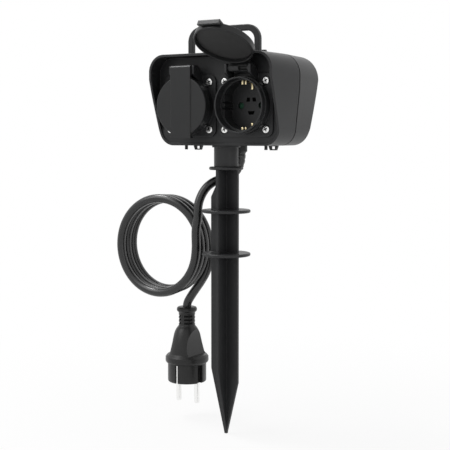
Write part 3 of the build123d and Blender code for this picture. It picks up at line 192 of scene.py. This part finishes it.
def mouldedMaterial(settings):
    material, tree, shader = startMaterial(settings["name"])
    place = tree.nodes.new("ShaderNodeTexCoord").outputs["Object"]
    cloud = addNoise(tree, place, settings["cloudScale"], mouldedSettings["cloudDetail"])
    grain = addNoise(tree, place, settings["grainScale"], mouldedSettings["grainDetail"])
    tone = settings["tone"]
    low = [part * (1 - settings["toneSpread"]) for part in tone]
    high = [part * (1 + settings["toneSpread"]) for part in tone]
    tree.links.new(addRamp(tree, cloud, low, high), shader.inputs["Base Color"])
    spread = mouldedSettings["glossSpread"]
    gloss = addRange(tree, grain, settings["roughness"] - spread, settings["roughness"] + spread)
    tree.links.new(gloss, shader.inputs["Roughness"])
    bump = addBump(tree, shader, grain, settings["grainStrength"], settings["grainHeight"])
    if settings["edgeRadius"] > 0:
        softEdge = tree.nodes.new("ShaderNodeBevel")  # moulded edges are slightly rounded
        softEdge.samples = mouldedSettings["edgeSamples"]
        softEdge.inputs["Radius"].default_value = settings["edgeRadius"]
        tree.links.new(softEdge.outputs["Normal"], bump.inputs["Normal"])
    shader.inputs["Specular IOR Level"].default_value = settings["specular"]
    return material


# Bare metal: patches of tone over fine tool marks
metalSettings = {
    "cloudDetail": 2.0, "markDetail": 3.0, "glossBelow": 0.04, "glossAbove": 0.08,
    "markStrength": 0.15, "markHeight": 0.00003,
}


def metalMaterial(settings):
    material, tree, shader = startMaterial(settings["name"])
    place = tree.nodes.new("ShaderNodeTexCoord").outputs["Object"]
    cloud = addNoise(tree, place, settings["cloudScale"], metalSettings["cloudDetail"])
    marks = addNoise(tree, place, settings["grainScale"], metalSettings["markDetail"])
    tone = settings["tone"]
    low = [part * (1 - settings["toneSpread"]) for part in tone]
    tree.links.new(addRamp(tree, cloud, low, tone), shader.inputs["Base Color"])
    shiny = settings["roughness"] - metalSettings["glossBelow"]
    dull = settings["roughness"] + metalSettings["glossAbove"]
    tree.links.new(addRange(tree, marks, shiny, dull), shader.inputs["Roughness"])
    addBump(tree, shader, marks, metalSettings["markStrength"], metalSettings["markHeight"])
    shader.inputs["Metallic"].default_value = 1.0
    return material


def grey(value):
    return (value, value, value)


# Finishes by slot, and three in camelCase that only this script's own pieces use; the two nearly black ones
# are painted shade, in the screws' cross recesses and over the socket floors' recesses
finishes = {
    "housing": mouldedMaterial({
        "name": "charcoalHousing", "tone": (0.0185, 0.019, 0.02), "toneSpread": 0.06, "cloudScale": 90,
        "grainScale": 2600, "grainStrength": 0.12, "grainHeight": 0.00004, "roughness": 0.42,
        "specular": 0.32, "edgeRadius": 0.0006,
    }),
    "lid": mouldedMaterial({
        "name": "satinLid", "tone": (0.0155, 0.016, 0.0165), "toneSpread": 0.05, "cloudScale": 70,
        "grainScale": 3200, "grainStrength": 0.1, "grainHeight": 0.00003, "roughness": 0.36,
        "specular": 0.32, "edgeRadius": 0.001,
    }),
    "dark_plastic": mouldedMaterial({
        "name": "blackPlastic", "tone": grey(0.018), "toneSpread": 0.08, "cloudScale": 120,
        "grainScale": 3000, "grainStrength": 0.2, "grainHeight": 0.00005, "roughness": 0.5,
        "specular": 0.2, "edgeRadius": 0.0002,
    }),
    "pale_plastic": mouldedMaterial({
        "name": "palePlastic", "tone": (0.52, 0.52, 0.50), "toneSpread": 0.04, "cloudScale": 120,
        "grainScale": 3000, "grainStrength": 0.15, "grainHeight": 0.00004, "roughness": 0.45,
        "specular": 0.4, "edgeRadius": 0.0002,
    }),
    "tappet_plastic": mouldedMaterial({
        "name": "tappetPlastic", "tone": (0.26, 0.27, 0.28), "toneSpread": 0.05, "cloudScale": 200,
        "grainScale": 3000, "grainStrength": 0.15, "grainHeight": 0.00004, "roughness": 0.45,
        "specular": 0.4, "edgeRadius": 0.0001,
    }),
    # Nearly black, for the blocks over the socket floors' recesses: painted shade, as dark as open holes into
    # the housing
    "paintedOpeningShade": mouldedMaterial({
        "name": "paintedOpeningShade", "tone": grey(0.002), "toneSpread": 0.1, "cloudScale": 120,
        "grainScale": 3000, "grainStrength": 0.1, "grainHeight": 0.00003, "roughness": 0.9,
        "specular": 0.02, "edgeRadius": 0.0,
    }),
    "seal_rubber": mouldedMaterial({
        "name": "sealRubber", "tone": grey(0.020), "toneSpread": 0.1, "cloudScale": 150,
        "grainScale": 2400, "grainStrength": 0.2, "grainHeight": 0.00005, "roughness": 0.55,
        "specular": 0.4, "edgeRadius": 0.0002,
    }),
    "shutter_green": mouldedMaterial({
        "name": "shutterGreen", "tone": (0.012, 0.07, 0.035), "toneSpread": 0.05, "cloudScale": 200,
        "grainScale": 3000, "grainStrength": 0.15, "grainHeight": 0.00004, "roughness": 0.45,
        "specular": 0.3, "edgeRadius": 0.0001,
    }),
    "plugRubber": mouldedMaterial({
        "name": "plugRubber", "tone": grey(0.016), "toneSpread": 0.05, "cloudScale": 60,
        "grainScale": 2400, "grainStrength": 0.1, "grainHeight": 0.00003, "roughness": 0.36,
        "specular": 0.33, "edgeRadius": 0.0003,
    }),
    "cord_rubber": mouldedMaterial({
        "name": "cordRubber", "tone": (0.009, 0.0092, 0.0095), "toneSpread": 0.04, "cloudScale": 60,
        "grainScale": 900, "grainStrength": 0.01, "grainHeight": 0.00001, "roughness": 0.27,
        "specular": 0.56, "edgeRadius": 0.0,
    }),
    "bright_screw": metalMaterial({
        "name": "platedScrew", "tone": (0.86, 0.86, 0.85), "toneSpread": 0.12, "cloudScale": 500,
        "grainScale": 3000, "roughness": 0.25,
    }),
    # Nearly black metal for the screws' cross recesses: painted shade where the recess lies in shadow
    "paintedScrewShade": metalMaterial({
        "name": "paintedRecessShade", "tone": grey(0.015), "toneSpread": 0.2, "cloudScale": 500,
        "grainScale": 3000, "roughness": 0.6,
    }),
    "steel": metalMaterial({
        "name": "turnedSteel", "tone": (0.50, 0.51, 0.52), "toneSpread": 0.15, "cloudScale": 400,
        "grainScale": 2500, "roughness": 0.32,
    }),
    "nickel_pin": metalMaterial({
        "name": "nickelPin", "tone": (0.93, 0.93, 0.92), "toneSpread": 0.05, "cloudScale": 300,
        "grainScale": 2200, "roughness": 0.2,
    }),
    "brass": metalMaterial({
        "name": "pressedBrass", "tone": (0.95, 0.82, 0.52), "toneSpread": 0.12, "cloudScale": 350,
        "grainScale": 2500, "roughness": 0.34,
    }),
}


def clearMaterial(settings):
    material, tree, shader = startMaterial(settings["name"])
    place = tree.nodes.new("ShaderNodeTexCoord").outputs["Object"]
    cloud = addNoise(tree, place, settings["cloudScale"], settings["cloudDetail"])
    tree.links.new(addRange(tree, cloud, *settings["roughness"]), shader.inputs["Roughness"])
    tree.links.new(addRamp(tree, cloud, settings["low"], settings["high"]), shader.inputs["Base Color"])
    shader.inputs["Transmission Weight"].default_value = 1.0
    shader.inputs["IOR"].default_value = settings["refraction"]
    return material


finishes["clear_plastic"] = clearMaterial({
    "name": "clearCover", "cloudScale": 40, "cloudDetail": 2.0, "roughness": (0.03, 0.09),
    "low": (0.72, 0.76, 0.78), "high": (0.82, 0.85, 0.87), "refraction": 1.45,
})

for row in frame["record"]["subparts"]:
    for slot in frame["nodes"][row["node"]].material_slots:
        slot.material = finishes[row["material_slot"]]
mainsCord.data.materials.append(finishes["cord_rubber"])
print("materials assigned")


# Helpers for modelling by hand
def selectFaces(piece, wanted):
    bpy.ops.object.mode_set(mode="EDIT")
    bpy.ops.mesh.select_mode(type="FACE")
    bpy.ops.mesh.select_all(action="DESELECT")
    bpy.ops.object.mode_set(mode="OBJECT")
    for face in piece.data.polygons:
        face.select = wanted(face)
    bpy.ops.object.mode_set(mode="EDIT")


def facesUp(face):
    return face.normal.z > 0.9


def facesDown(face):
    return face.normal.z < -0.9


def copyTo(piece, place):
    twin = piece.copy()
    twin.data = piece.data.copy()
    twin.data.transform(place)
    scene.collection.objects.link(twin)
    return twin


def selectOnly(pieces):
    bpy.ops.object.select_all(action="DESELECT")
    for piece in pieces:
        piece.select_set(True)
    bpy.context.view_layer.objects.active = pieces[0]


def joinAll(pieces, name):
    selectOnly(pieces)
    bpy.ops.object.join()
    joined = bpy.context.view_layer.objects.active
    joined.name = name
    return joined


def addBlock(place, size, turn=0.0):
    bpy.ops.object.select_all(action="DESELECT")
    bpy.ops.mesh.primitive_cube_add(size=1, location=place, scale=size, rotation=(0, 0, turn))
    return bpy.context.object


def cutAway(piece, cutter, name, keepFinish=False):
    cut = piece.modifiers.new(name, "BOOLEAN")
    cut.operation = "DIFFERENCE"
    cut.solver = "EXACT"
    if keepFinish:
        cut.material_mode = "TRANSFER"  # the cut faces take the cutter's finish
    cut.object = cutter
    selectOnly([piece])
    bpy.ops.object.modifier_apply(modifier=cut.name)
    bpy.data.objects.remove(cutter)


def finishPiece(piece, body, slotName):
    if not piece.data.materials:
        piece.data.materials.append(finishes[slotName])
    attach(piece, body)


# Screws with a rounded head and a cross recess, each kind modelled once and copied to its holes
screwForm = {
    "sides": 40,
    "roundSegments": 5,
    "tipLength": 1.5,  # times the shank's radius
    "tipSize": 0.2,
    "recessTaper": 0.35,
    "recessTurns": (25, 115),
    "smoothAngle": 35,
}
screwKinds = {
    "socketScrews": {
        "node": "socket_screws", "headRadius": 0.003, "headHeight": 0.0016, "headRound": 0.0007,
        "shankRadius": 0.0015, "shankLength": 0.010, "recessReach": 0.0026, "recessWidth": 0.0013,
        "recessDepth": 0.0012, "seat": -0.0134, "facing": -1,
        "places": [
            (socketX + x, sockets["z"] + z)
            for socketX in sockets["x"] for x in (-0.019, 0.019) for z in (-0.019, 0.019)
        ],
    },
    "housingScrews": {
        "node": "housing_screws", "headRadius": 0.0032, "headHeight": 0.0022, "headRound": 0.0008,
        "shankRadius": 0.00175, "shankLength": 0.040, "recessReach": 0.0019, "recessWidth": 0.0008,
        "recessDepth": 0.0014, "seat": 0.0365, "facing": 1,
        "places": [(x, z) for x in (-0.0495, 0.0495) for z in (0.0995, 0.1531)],
    },
    "timerScrews": {
        "node": "timer_screws", "headRadius": 0.0022, "headHeight": 0.0012, "headRound": 0.0005,
        "shankRadius": 0.0012, "shankLength": 0.007, "recessReach": 0.0013, "recessWidth": 0.0005,
        "recessDepth": 0.0008, "seat": 0.0385, "facing": 1,
        "places": [(x, sockets["z"] + z) for x in (-0.0215, 0.0215) for z in (-0.0155, 0.0155)],
    },
}


def cutBar(screw, settings, turn):
    size = (2 * settings["recessReach"], settings["recessWidth"], 2 * settings["recessDepth"])
    bar = addBlock((0, 0, settings["headHeight"]), size, turn)
    # the recess faces take the nearly black metal, painted shade in the hollow
    bar.data.materials.append(finishes["paintedScrewShade"])
    selectFaces(bar, facesDown)
    bpy.ops.transform.resize(value=(screwForm["recessTaper"], screwForm["recessTaper"], 1.0))
    bpy.ops.object.mode_set(mode="OBJECT")
    cutAway(screw, bar, "crossRecess", keepFinish=True)


def addScrews(name, settings):
    bpy.ops.object.select_all(action="DESELECT")
    bpy.ops.mesh.primitive_cylinder_add(
        vertices=screwForm["sides"], radius=settings["headRadius"], depth=settings["headHeight"],
        location=(0, 0, settings["headHeight"] / 2),
    )
    screw = bpy.context.object
    screw.data.materials.append(finishes["bright_screw"])
    bpy.ops.object.transform_apply(location=True, rotation=True, scale=True)
    selectFaces(screw, facesUp)
    bpy.ops.mesh.bevel(offset=settings["headRound"], segments=screwForm["roundSegments"], affect="EDGES")
    selectFaces(screw, facesDown)
    bpy.ops.mesh.inset(thickness=settings["headRadius"] - settings["shankRadius"])
    tip = screwForm["tipLength"] * settings["shankRadius"]
    for drop, size in ((settings["shankLength"] - tip, 1.0), (tip, screwForm["tipSize"])):
        bpy.ops.mesh.extrude_region_move(TRANSFORM_OT_translate={"value": (0, 0, -drop)})
        bpy.ops.transform.resize(value=(size, size, 1.0))
    bpy.ops.object.mode_set(mode="OBJECT")
    for turn in screwForm["recessTurns"]:
        cutBar(screw, settings, radians(turn))
    bpy.ops.object.shade_smooth_by_angle(angle=radians(screwForm["smoothAngle"]))
    upright = Matrix.Rotation(-pi / 2 * settings["facing"], 4, "X")
    copies = [
        copyTo(screw, Matrix.Translation((x, settings["seat"], z)) @ upright) for x, z in settings["places"]
    ]
    bpy.data.objects.remove(screw)
    screws = joinAll(copies, name)
    finishPiece(screws, "housing", "bright_screw")
    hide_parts(settings["node"])


for name, settings in screwKinds.items():
    addScrews(name, settings)
print("screws driven")


# Mains plug's moulded body: bead, slotted neck, bell with two finger scoops, flange and face
plugSettings = {
    "place": (-0.0584, 0.0285),
    "profile": [  # radius and height of each ring, from the top down
        (0.0066, -0.0510), (0.0073, -0.0511), (0.0079, -0.0513), (0.0084, -0.0517), (0.0087, -0.0523),
        (0.0089, -0.0531), (0.0089, -0.0537), (0.0087, -0.0545), (0.0082, -0.0552), (0.0076, -0.0557),
        (0.0073, -0.0562), (0.0072, -0.0570), (0.0072, -0.0674), (0.0075, -0.0680), (0.0083, -0.0689),
        (0.0095, -0.0706), (0.0107, -0.0730), (0.0120, -0.0762), (0.0132, -0.0798), (0.0146, -0.0844),
        (0.0156, -0.0885), (0.0163, -0.0920), (0.0189, -0.0950), (0.0190, -0.0984), (0.0187, -0.0994),
        (0.0180, -0.1002), (0.0169, -0.1008), (0.0169, -0.1160), (0.0166, -0.1168), (0.0160, -0.1172),
    ],
    "sides": 96,
    "startHeight": 0.001,
    "startRise": 0.0009,
    "neckRadius": 0.0072,
    "grooveLevels": (-0.0590, -0.0621, -0.0652),
    "grooveWidth": 0.0074,
    "grooveHeight": 0.0017,
    "grooveDepth": 0.0028,
    "grooveBlock": 0.010,
    "faceTop": -0.1012,
    "faceBottom": -0.1172,
    "faceRadius": 0.0169,
    "slotWidth": 0.0025,
    "slotDepth": 0.0022,
    "keyWidth": 0.0056,
    "keyDepth": 0.0032,
    "keyShift": -0.0038,
    "overcut": 0.002,
    "scoopSides": 160,
    "scoopLength": 0.05,
    "scoopRadius": 0.033,
    "scoopOffset": 0.0078,
    "scoopHeight": -0.0812,
    "scoopBottom": -0.0932,
    "smoothAngle": 28,
}


def turnPlug(settings):
    (radius, height), *rings = settings["profile"]
    start = settings["startHeight"]
    bpy.ops.object.select_all(action="DESELECT")
    bpy.ops.mesh.primitive_cylinder_add(
        vertices=settings["sides"], radius=radius, depth=start,
        location=(*settings["place"], height - start / 2),
    )
    plug = bpy.context.object
    bpy.ops.object.transform_apply(location=True, rotation=True, scale=True)
    selectFaces(plug, facesDown)
    bpy.ops.transform.translate(value=(0, 0, settings["startRise"]))
    height -= start - settings["startRise"]
    for nextRadius, nextHeight in rings:
        bpy.ops.mesh.extrude_region_move(TRANSFORM_OT_translate={"value": (0, 0, nextHeight - height)})
        bpy.ops.transform.resize(value=(nextRadius / radius, nextRadius / radius, 1.0))
        radius, height = nextRadius, nextHeight
    bpy.ops.object.mode_set(mode="OBJECT")
    return plug


def cutNeck(plug, settings):
    x, y = settings["place"]
    reach = settings["neckRadius"] - settings["grooveDepth"] + settings["grooveBlock"] / 2
    for level in settings["grooveLevels"]:
        for quarter in range(4):
            turn = (quarter + 0.5) * pi / 2
            groove = addBlock(
                (x + reach * cos(turn), y + reach * sin(turn), level),
                (settings["grooveBlock"], settings["grooveWidth"], settings["grooveHeight"]), turn,
            )
            cutAway(plug, groove, "neckGroove")


def cutSide(plug, settings, side):
    x, y = settings["place"]
    tall = settings["faceTop"] - settings["faceBottom"]
    level = settings["faceBottom"] + tall / 2 - settings["overcut"] / 2
    tall += settings["overcut"]
    slot = addBlock(
        (x, y + side * settings["faceRadius"], level),
        (settings["slotWidth"], 2 * settings["slotDepth"], tall),
    )
    cutAway(plug, slot, "earthSlot")
    key = addBlock(
        (x + side * settings["faceRadius"], y + side * settings["keyShift"], level),
        (2 * settings["keyDepth"], settings["keyWidth"], tall),
    )
    cutAway(plug, key, "sideKey")
    scoopX = x + side * (settings["scoopOffset"] + settings["scoopRadius"])
    bpy.ops.object.select_all(action="DESELECT")
    bpy.ops.mesh.primitive_cylinder_add(
        vertices=settings["scoopSides"], radius=settings["scoopRadius"], depth=settings["scoopLength"],
        rotation=(pi / 2, 0, 0), location=(scoopX, y, settings["scoopHeight"]),
    )
    scoop = bpy.context.object
    bpy.ops.object.transform_apply(location=True, rotation=True, scale=True)
    selectFaces(scoop, lambda face: True)
    bpy.ops.mesh.bisect(
        plane_co=(x, y, settings["scoopBottom"]), plane_no=(0, 0, -1), clear_outer=True, use_fill=True,
    )
    bpy.ops.object.mode_set(mode="OBJECT")
    cutAway(plug, scoop, "fingerScoop")


def addPlugBody(settings):
    plug = turnPlug(settings)
    cutNeck(plug, settings)
    for side in (-1, 1):
        cutSide(plug, settings, side)
    bpy.ops.object.shade_smooth_by_angle(angle=radians(settings["smoothAngle"]))
    plug.name = "plugBody"
    plug.data.materials.append(finishes["plugRubber"])
    finishPiece(plug, "housing", "cord_rubber")
    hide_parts("plug_body")


addPlugBody(plugSettings)
print("plug moulded")


# Brass earth clips: two standing finger tips, their arms along the wall, a root plate and the strap behind
clipSettings = {
    # place across, along, heights of the upper and lower centre; then width, depth, upper and lower tallness
    "blocks": [
        ((-0.0017, -0.0152, 0.0180, -0.0184), (0.0016, 0.0008, 0.0034, 0.0022)),
        ((0.0014, -0.0152, 0.0179, -0.0183), (0.0012, 0.0008, 0.0034, 0.0018)),
        ((-0.0017, -0.0102, 0.0188, -0.0188), (0.0016, 0.0106, 0.0008, 0.0008)),
        ((0.0014, -0.0102, 0.0188, -0.0188), (0.0012, 0.0106, 0.0008, 0.0008)),
        ((0.0014, -0.0053, 0.0152, -0.0150), (0.0018, 0.0008, 0.0050, 0.0020)),
        ((0.0, 0.0018, 0.0188, -0.0188), (0.0056, 0.0138, 0.0008, 0.0008)),
    ],
    "strapPlace": (0.0, 0.0084, 0.0),
    "strapSize": (0.0056, 0.0008, 0.0376),
    "edgeBevel": 0.00015,
    "edgeSegments": 2,
    "smoothAngle": 30,
}


def addClips(settings):
    blocks = [(settings["strapPlace"], settings["strapSize"])]
    for place, size in settings["blocks"]:
        for half in (2, 3):
            blocks.append(((place[0], place[1], place[half]), (size[0], size[1], size[half])))
    parts = []
    for place, size in blocks:
        part = addBlock(place, size)
        bpy.ops.object.transform_apply(location=True, rotation=True, scale=True)
        bpy.ops.object.mode_set(mode="EDIT")
        bpy.ops.mesh.select_all(action="SELECT")
        bpy.ops.mesh.bevel(offset=settings["edgeBevel"], segments=settings["edgeSegments"], affect="EDGES")
        bpy.ops.object.mode_set(mode="OBJECT")
        parts.append(part)
    clip = joinAll(parts, "earthClip")
    copies = [copyTo(clip, Matrix.Translation((x, 0, sockets["z"]))) for x in sockets["x"]]
    bpy.data.objects.remove(clip)
    clips = joinAll(copies, "earthClips")
    bpy.ops.object.shade_smooth_by_angle(angle=radians(settings["smoothAngle"]))
    finishPiece(clips, "housing", "brass")
    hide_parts("earth_clip_left", "earth_clip_right")


addClips(clipSettings)
print("clips fitted")


# Nearly black blocks over the shallow recesses in each socket's floor, two slots above and a notch below:
# painted shade that makes the recesses read as dark openings
floorShadeSettings = {
    "floor": -0.0045,
    "depth": 0.0011,
    "proud": 0.00005,
    "slotHalf": (0.0017, 0.00125),
    "slotX": 0.00285,
    "slotZ": 0.00475,
    "slotHeight": 0.0031,
    "notchHalf": (0.0020, 0.0030),
    "notchZ": -0.00585,
    "notchHeight": 0.0027,
}


def addMark(settings, low, high, height, x, z, lean):
    place = (x, settings["floor"] + settings["depth"] / 2 - settings["proud"], z)
    mark = addBlock(place, (2 * low, settings["depth"], height))
    # painted shade: the block is nearly black so the recess reads as a dark opening
    mark.data.materials.append(finishes["paintedOpeningShade"])
    bpy.ops.object.transform_apply(location=True, rotation=True, scale=True)
    selectFaces(mark, facesUp)
    bpy.ops.transform.resize(value=(high / low, 1.0, 1.0))
    bpy.ops.transform.translate(value=(lean, 0, 0))
    bpy.ops.object.mode_set(mode="OBJECT")
    return mark


def addFloorMarks(settings):
    slotLow, slotHigh = settings["slotHalf"]
    marks = []
    for socketX in sockets["x"]:
        for side in (-1, 1):
            marks.append(addMark(
                settings, slotLow, slotHigh, settings["slotHeight"], socketX + side * settings["slotX"],
                sockets["z"] + settings["slotZ"], side * (slotHigh - slotLow),
            ))
        marks.append(addMark(
            settings, *settings["notchHalf"], settings["notchHeight"], socketX,
            sockets["z"] + settings["notchZ"], 0,
        ))
    finishPiece(joinAll(marks, "floorShadeBlocks"), "housing", "dark_plastic")


addFloorMarks(floorShadeSettings)
print("socket floors marked")


# Hour numbers and ticks printed on the timer's dial
dialSettings = {
    "face": 0.0380,
    "hours": 24,
    "hourStep": 2,
    "textSteps": 3,
    "numberRadius": 0.0127,
    "numberSize": 0.0027,
    "tickRadius": 0.0161,
    "tickLength": 0.0016,
    "halfTickLength": 0.0008,
    "tickWidth": 0.00035,
    "printHeight": 0.00006,
}


def dialPlace(settings, hour, radius):
    facing = Matrix(((-1, 0, 0, 0), (0, 0, 1, settings["face"]), (0, 1, 0, sockets["z"]), (0, 0, 0, 1)))
    turn = Matrix.Rotation(-2 * pi * hour / settings["hours"], 4, "Z")
    return facing @ turn @ Matrix.Translation((0, radius, 0))


def addDialPrint(settings):
    numbers = []
    for hour in range(settings["hourStep"], settings["hours"] + 1, settings["hourStep"]):
        bpy.ops.object.select_all(action="DESELECT")
        bpy.ops.object.text_add(location=(0, 0, 0))
        figure = bpy.context.object
        figure.data.body = str(hour)
        figure.data.size = settings["numberSize"]
        figure.data.align_x = "CENTER"
        figure.data.align_y = "CENTER"
        figure.data.extrude = settings["printHeight"]
        figure.data.resolution_u = settings["textSteps"]
        bpy.ops.object.convert(target="MESH")
        figure.data.transform(dialPlace(settings, hour, settings["numberRadius"]))
        numbers.append(figure)
    finishPiece(joinAll(numbers, "dialNumbers"), "timer_dial", "dark_plastic")
    ticks = []
    for step in range(2 * settings["hours"]):
        length = settings["tickLength"] if step % 2 == 0 else settings["halfTickLength"]
        tick = addBlock((0, 0, 0), (settings["tickWidth"], length, 2 * settings["printHeight"]))
        bpy.ops.object.transform_apply(location=True, rotation=True, scale=True)
        tick.data.transform(dialPlace(settings, step / 2, settings["tickRadius"] - length / 2))
        ticks.append(tick)
    finishPiece(joinAll(ticks, "dialTicks"), "timer_dial", "dark_plastic")


addDialPrint(dialSettings)
print("dial printed")


# Tapered rubber boot under the gland, along the cord's own line
bootSettings = {
    "length": 0.0215,
    "overlap": 0.0018,
    "startRadius": 0.0054,
    "endRadius": 0.0043,
    "rings": 6,
    "grooveDepth": 0.0003,
    "step": 0.0004,
    "roundSteps": 8,
    "smoothAngle": 50,
}


def lineAt(points, distance):
    for start, end in zip(points, points[1:]):
        run = (end - start).length
        if distance <= run:
            return start.lerp(end, distance / run)
        distance -= run
    return points[-1]


def addBoot(settings, middle):
    top = middle[0] + Vector((0, 0, settings["overlap"]))
    line = [top] + middle
    total = settings["overlap"] + settings["length"]
    count = round(total / settings["step"])
    curve = bpy.data.curves.new("strainBoot", "CURVE")
    curve.dimensions = "3D"
    spline = curve.splines.new("POLY")
    spline.points.add(count)
    for index, point in enumerate(spline.points):
        share = index / count
        point.co = (*lineAt(line, share * total), 1.0)
        groove = max(0.0, -cos(2 * pi * settings["rings"] * share)) * settings["grooveDepth"]
        taper = settings["startRadius"] + (settings["endRadius"] - settings["startRadius"]) * share
        point.radius = (taper - groove) / settings["startRadius"]
    curve.bevel_depth = settings["startRadius"]
    curve.bevel_resolution = settings["roundSteps"]
    curve.use_fill_caps = True
    boot = bpy.data.objects.new("strainBoot", curve)
    scene.collection.objects.link(boot)
    selectOnly([boot])
    bpy.ops.object.convert(target="MESH")
    bpy.ops.object.shade_smooth_by_angle(angle=radians(settings["smoothAngle"]))
    finishPiece(boot, "housing", "cord_rubber")


addBoot(bootSettings, cordMiddle)
print("boot fitted")


# Studio: pale floor that fades to white, white surroundings and soft lamps
studioSettings = {
    "floorHeight": -0.1495,
    "floorHalf": 3.0,
    "floorTone": 0.9,
    "floorRoughness": 0.9,
    "fadeStart": 0.06,
    "fadeEnd": 0.5,
    "fadeShare": 0.88,
    "ambient": 0.42,
    "lamps": [
        {"name": "keyLamp", "place": (-0.9, -1.0, 1.15), "size": 1.2, "power": 9.5},
        {"name": "rightLamp", "place": (1.5, -0.45, 0.40), "size": 1.2, "power": 2.0},
        {"name": "topLamp", "place": (-0.75, -0.12, 1.35), "size": 0.5, "power": 10.0},
        {"name": "rearLamp", "place": (-0.7, 1.3, 0.9), "size": 1.0, "power": 0.8},
    ],
    "target": (0.0, 0.0, 0.05),
}


# 1 for what the camera sees, straight, mirrored or through glass
def addSeen(tree):
    path = tree.nodes.new("ShaderNodeLightPath")
    total = path.outputs["Is Camera Ray"]
    for name in ("Is Glossy Ray", "Is Transmission Ray"):
        larger = tree.nodes.new("ShaderNodeMath")
        larger.operation = "MAXIMUM"
        tree.links.new(total, larger.inputs[0])
        tree.links.new(path.outputs[name], larger.inputs[1])
        total = larger.outputs["Value"]
    return total


def addFloor(settings):
    bpy.ops.object.select_all(action="DESELECT")
    bpy.ops.mesh.primitive_plane_add(size=2 * settings["floorHalf"], location=(0, 0, settings["floorHeight"]))
    floor = bpy.context.object
    floor.name = "studioFloor"
    material, tree, shader = startMaterial("studioFloor")
    shader.inputs["Base Color"].default_value = (*grey(settings["floorTone"]), 1)
    shader.inputs["Roughness"].default_value = settings["floorRoughness"]
    shader.inputs["Specular IOR Level"].default_value = 0.0
    reach = tree.nodes.new("ShaderNodeVectorMath")
    reach.operation = "LENGTH"
    tree.links.new(tree.nodes.new("ShaderNodeTexCoord").outputs["Object"], reach.inputs[0])
    fade = tree.nodes.new("ShaderNodeMapRange")
    fade.interpolation_type = "SMOOTHSTEP"
    fade.inputs["From Min"].default_value = settings["fadeStart"]
    fade.inputs["From Max"].default_value = settings["fadeEnd"]
    fade.inputs["To Min"].default_value = settings["fadeShare"]
    fade.inputs["To Max"].default_value = 1.0
    tree.links.new(reach.outputs["Value"], fade.inputs["Value"])
    share = tree.nodes.new("ShaderNodeMath")
    share.operation = "MULTIPLY"
    tree.links.new(addSeen(tree), share.inputs[0])
    tree.links.new(fade.outputs["Result"], share.inputs[1])
    white = tree.nodes.new("ShaderNodeEmission")
    white.inputs["Color"].default_value = (1, 1, 1, 1)
    white.inputs["Strength"].default_value = 1.0
    mix = tree.nodes.new("ShaderNodeMixShader")
    tree.links.new(share.outputs["Value"], mix.inputs["Fac"])
    tree.links.new(shader.outputs["BSDF"], mix.inputs[1])
    tree.links.new(white.outputs["Emission"], mix.inputs[2])
    tree.links.new(mix.outputs["Shader"], tree.nodes["Material Output"].inputs["Surface"])
    floor.data.materials.append(material)


def addWorld(settings):
    world = bpy.data.worlds.new("studioWorld")
    scene.world = world
    world.use_nodes = True
    tree = world.node_tree
    fill = tree.nodes["Background"]
    fill.inputs["Color"].default_value = (1, 1, 1, 1)
    fill.inputs["Strength"].default_value = settings["ambient"]
    white = tree.nodes.new("ShaderNodeBackground")
    white.inputs["Color"].default_value = (1, 1, 1, 1)
    white.inputs["Strength"].default_value = 1.0
    mix = tree.nodes.new("ShaderNodeMixShader")
    tree.links.new(addSeen(tree), mix.inputs["Fac"])
    tree.links.new(fill.outputs["Background"], mix.inputs[1])
    tree.links.new(white.outputs["Background"], mix.inputs[2])
    tree.links.new(mix.outputs["Shader"], tree.nodes["World Output"].inputs["Surface"])


def addLamps(settings):
    for lampSettings in settings["lamps"]:
        data = bpy.data.lights.new(lampSettings["name"], "AREA")
        data.shape = "DISK"
        data.size = lampSettings["size"]
        data.energy = lampSettings["power"]
        lamp = bpy.data.objects.new(lampSettings["name"], data)
        scene.collection.objects.link(lamp)
        lamp.location = lampSettings["place"]
        aim = Vector(settings["target"]) - lamp.location
        lamp.rotation_euler = aim.to_track_quat("-Z", "Y").to_euler()


addFloor(studioSettings)
addWorld(studioSettings)
addLamps(studioSettings)
scene.view_settings.view_transform = "Standard"
print("studio lit")

mainsCord.data.update_tag()  # so that the curve's box is measured afresh
bpy.context.view_layer.update()
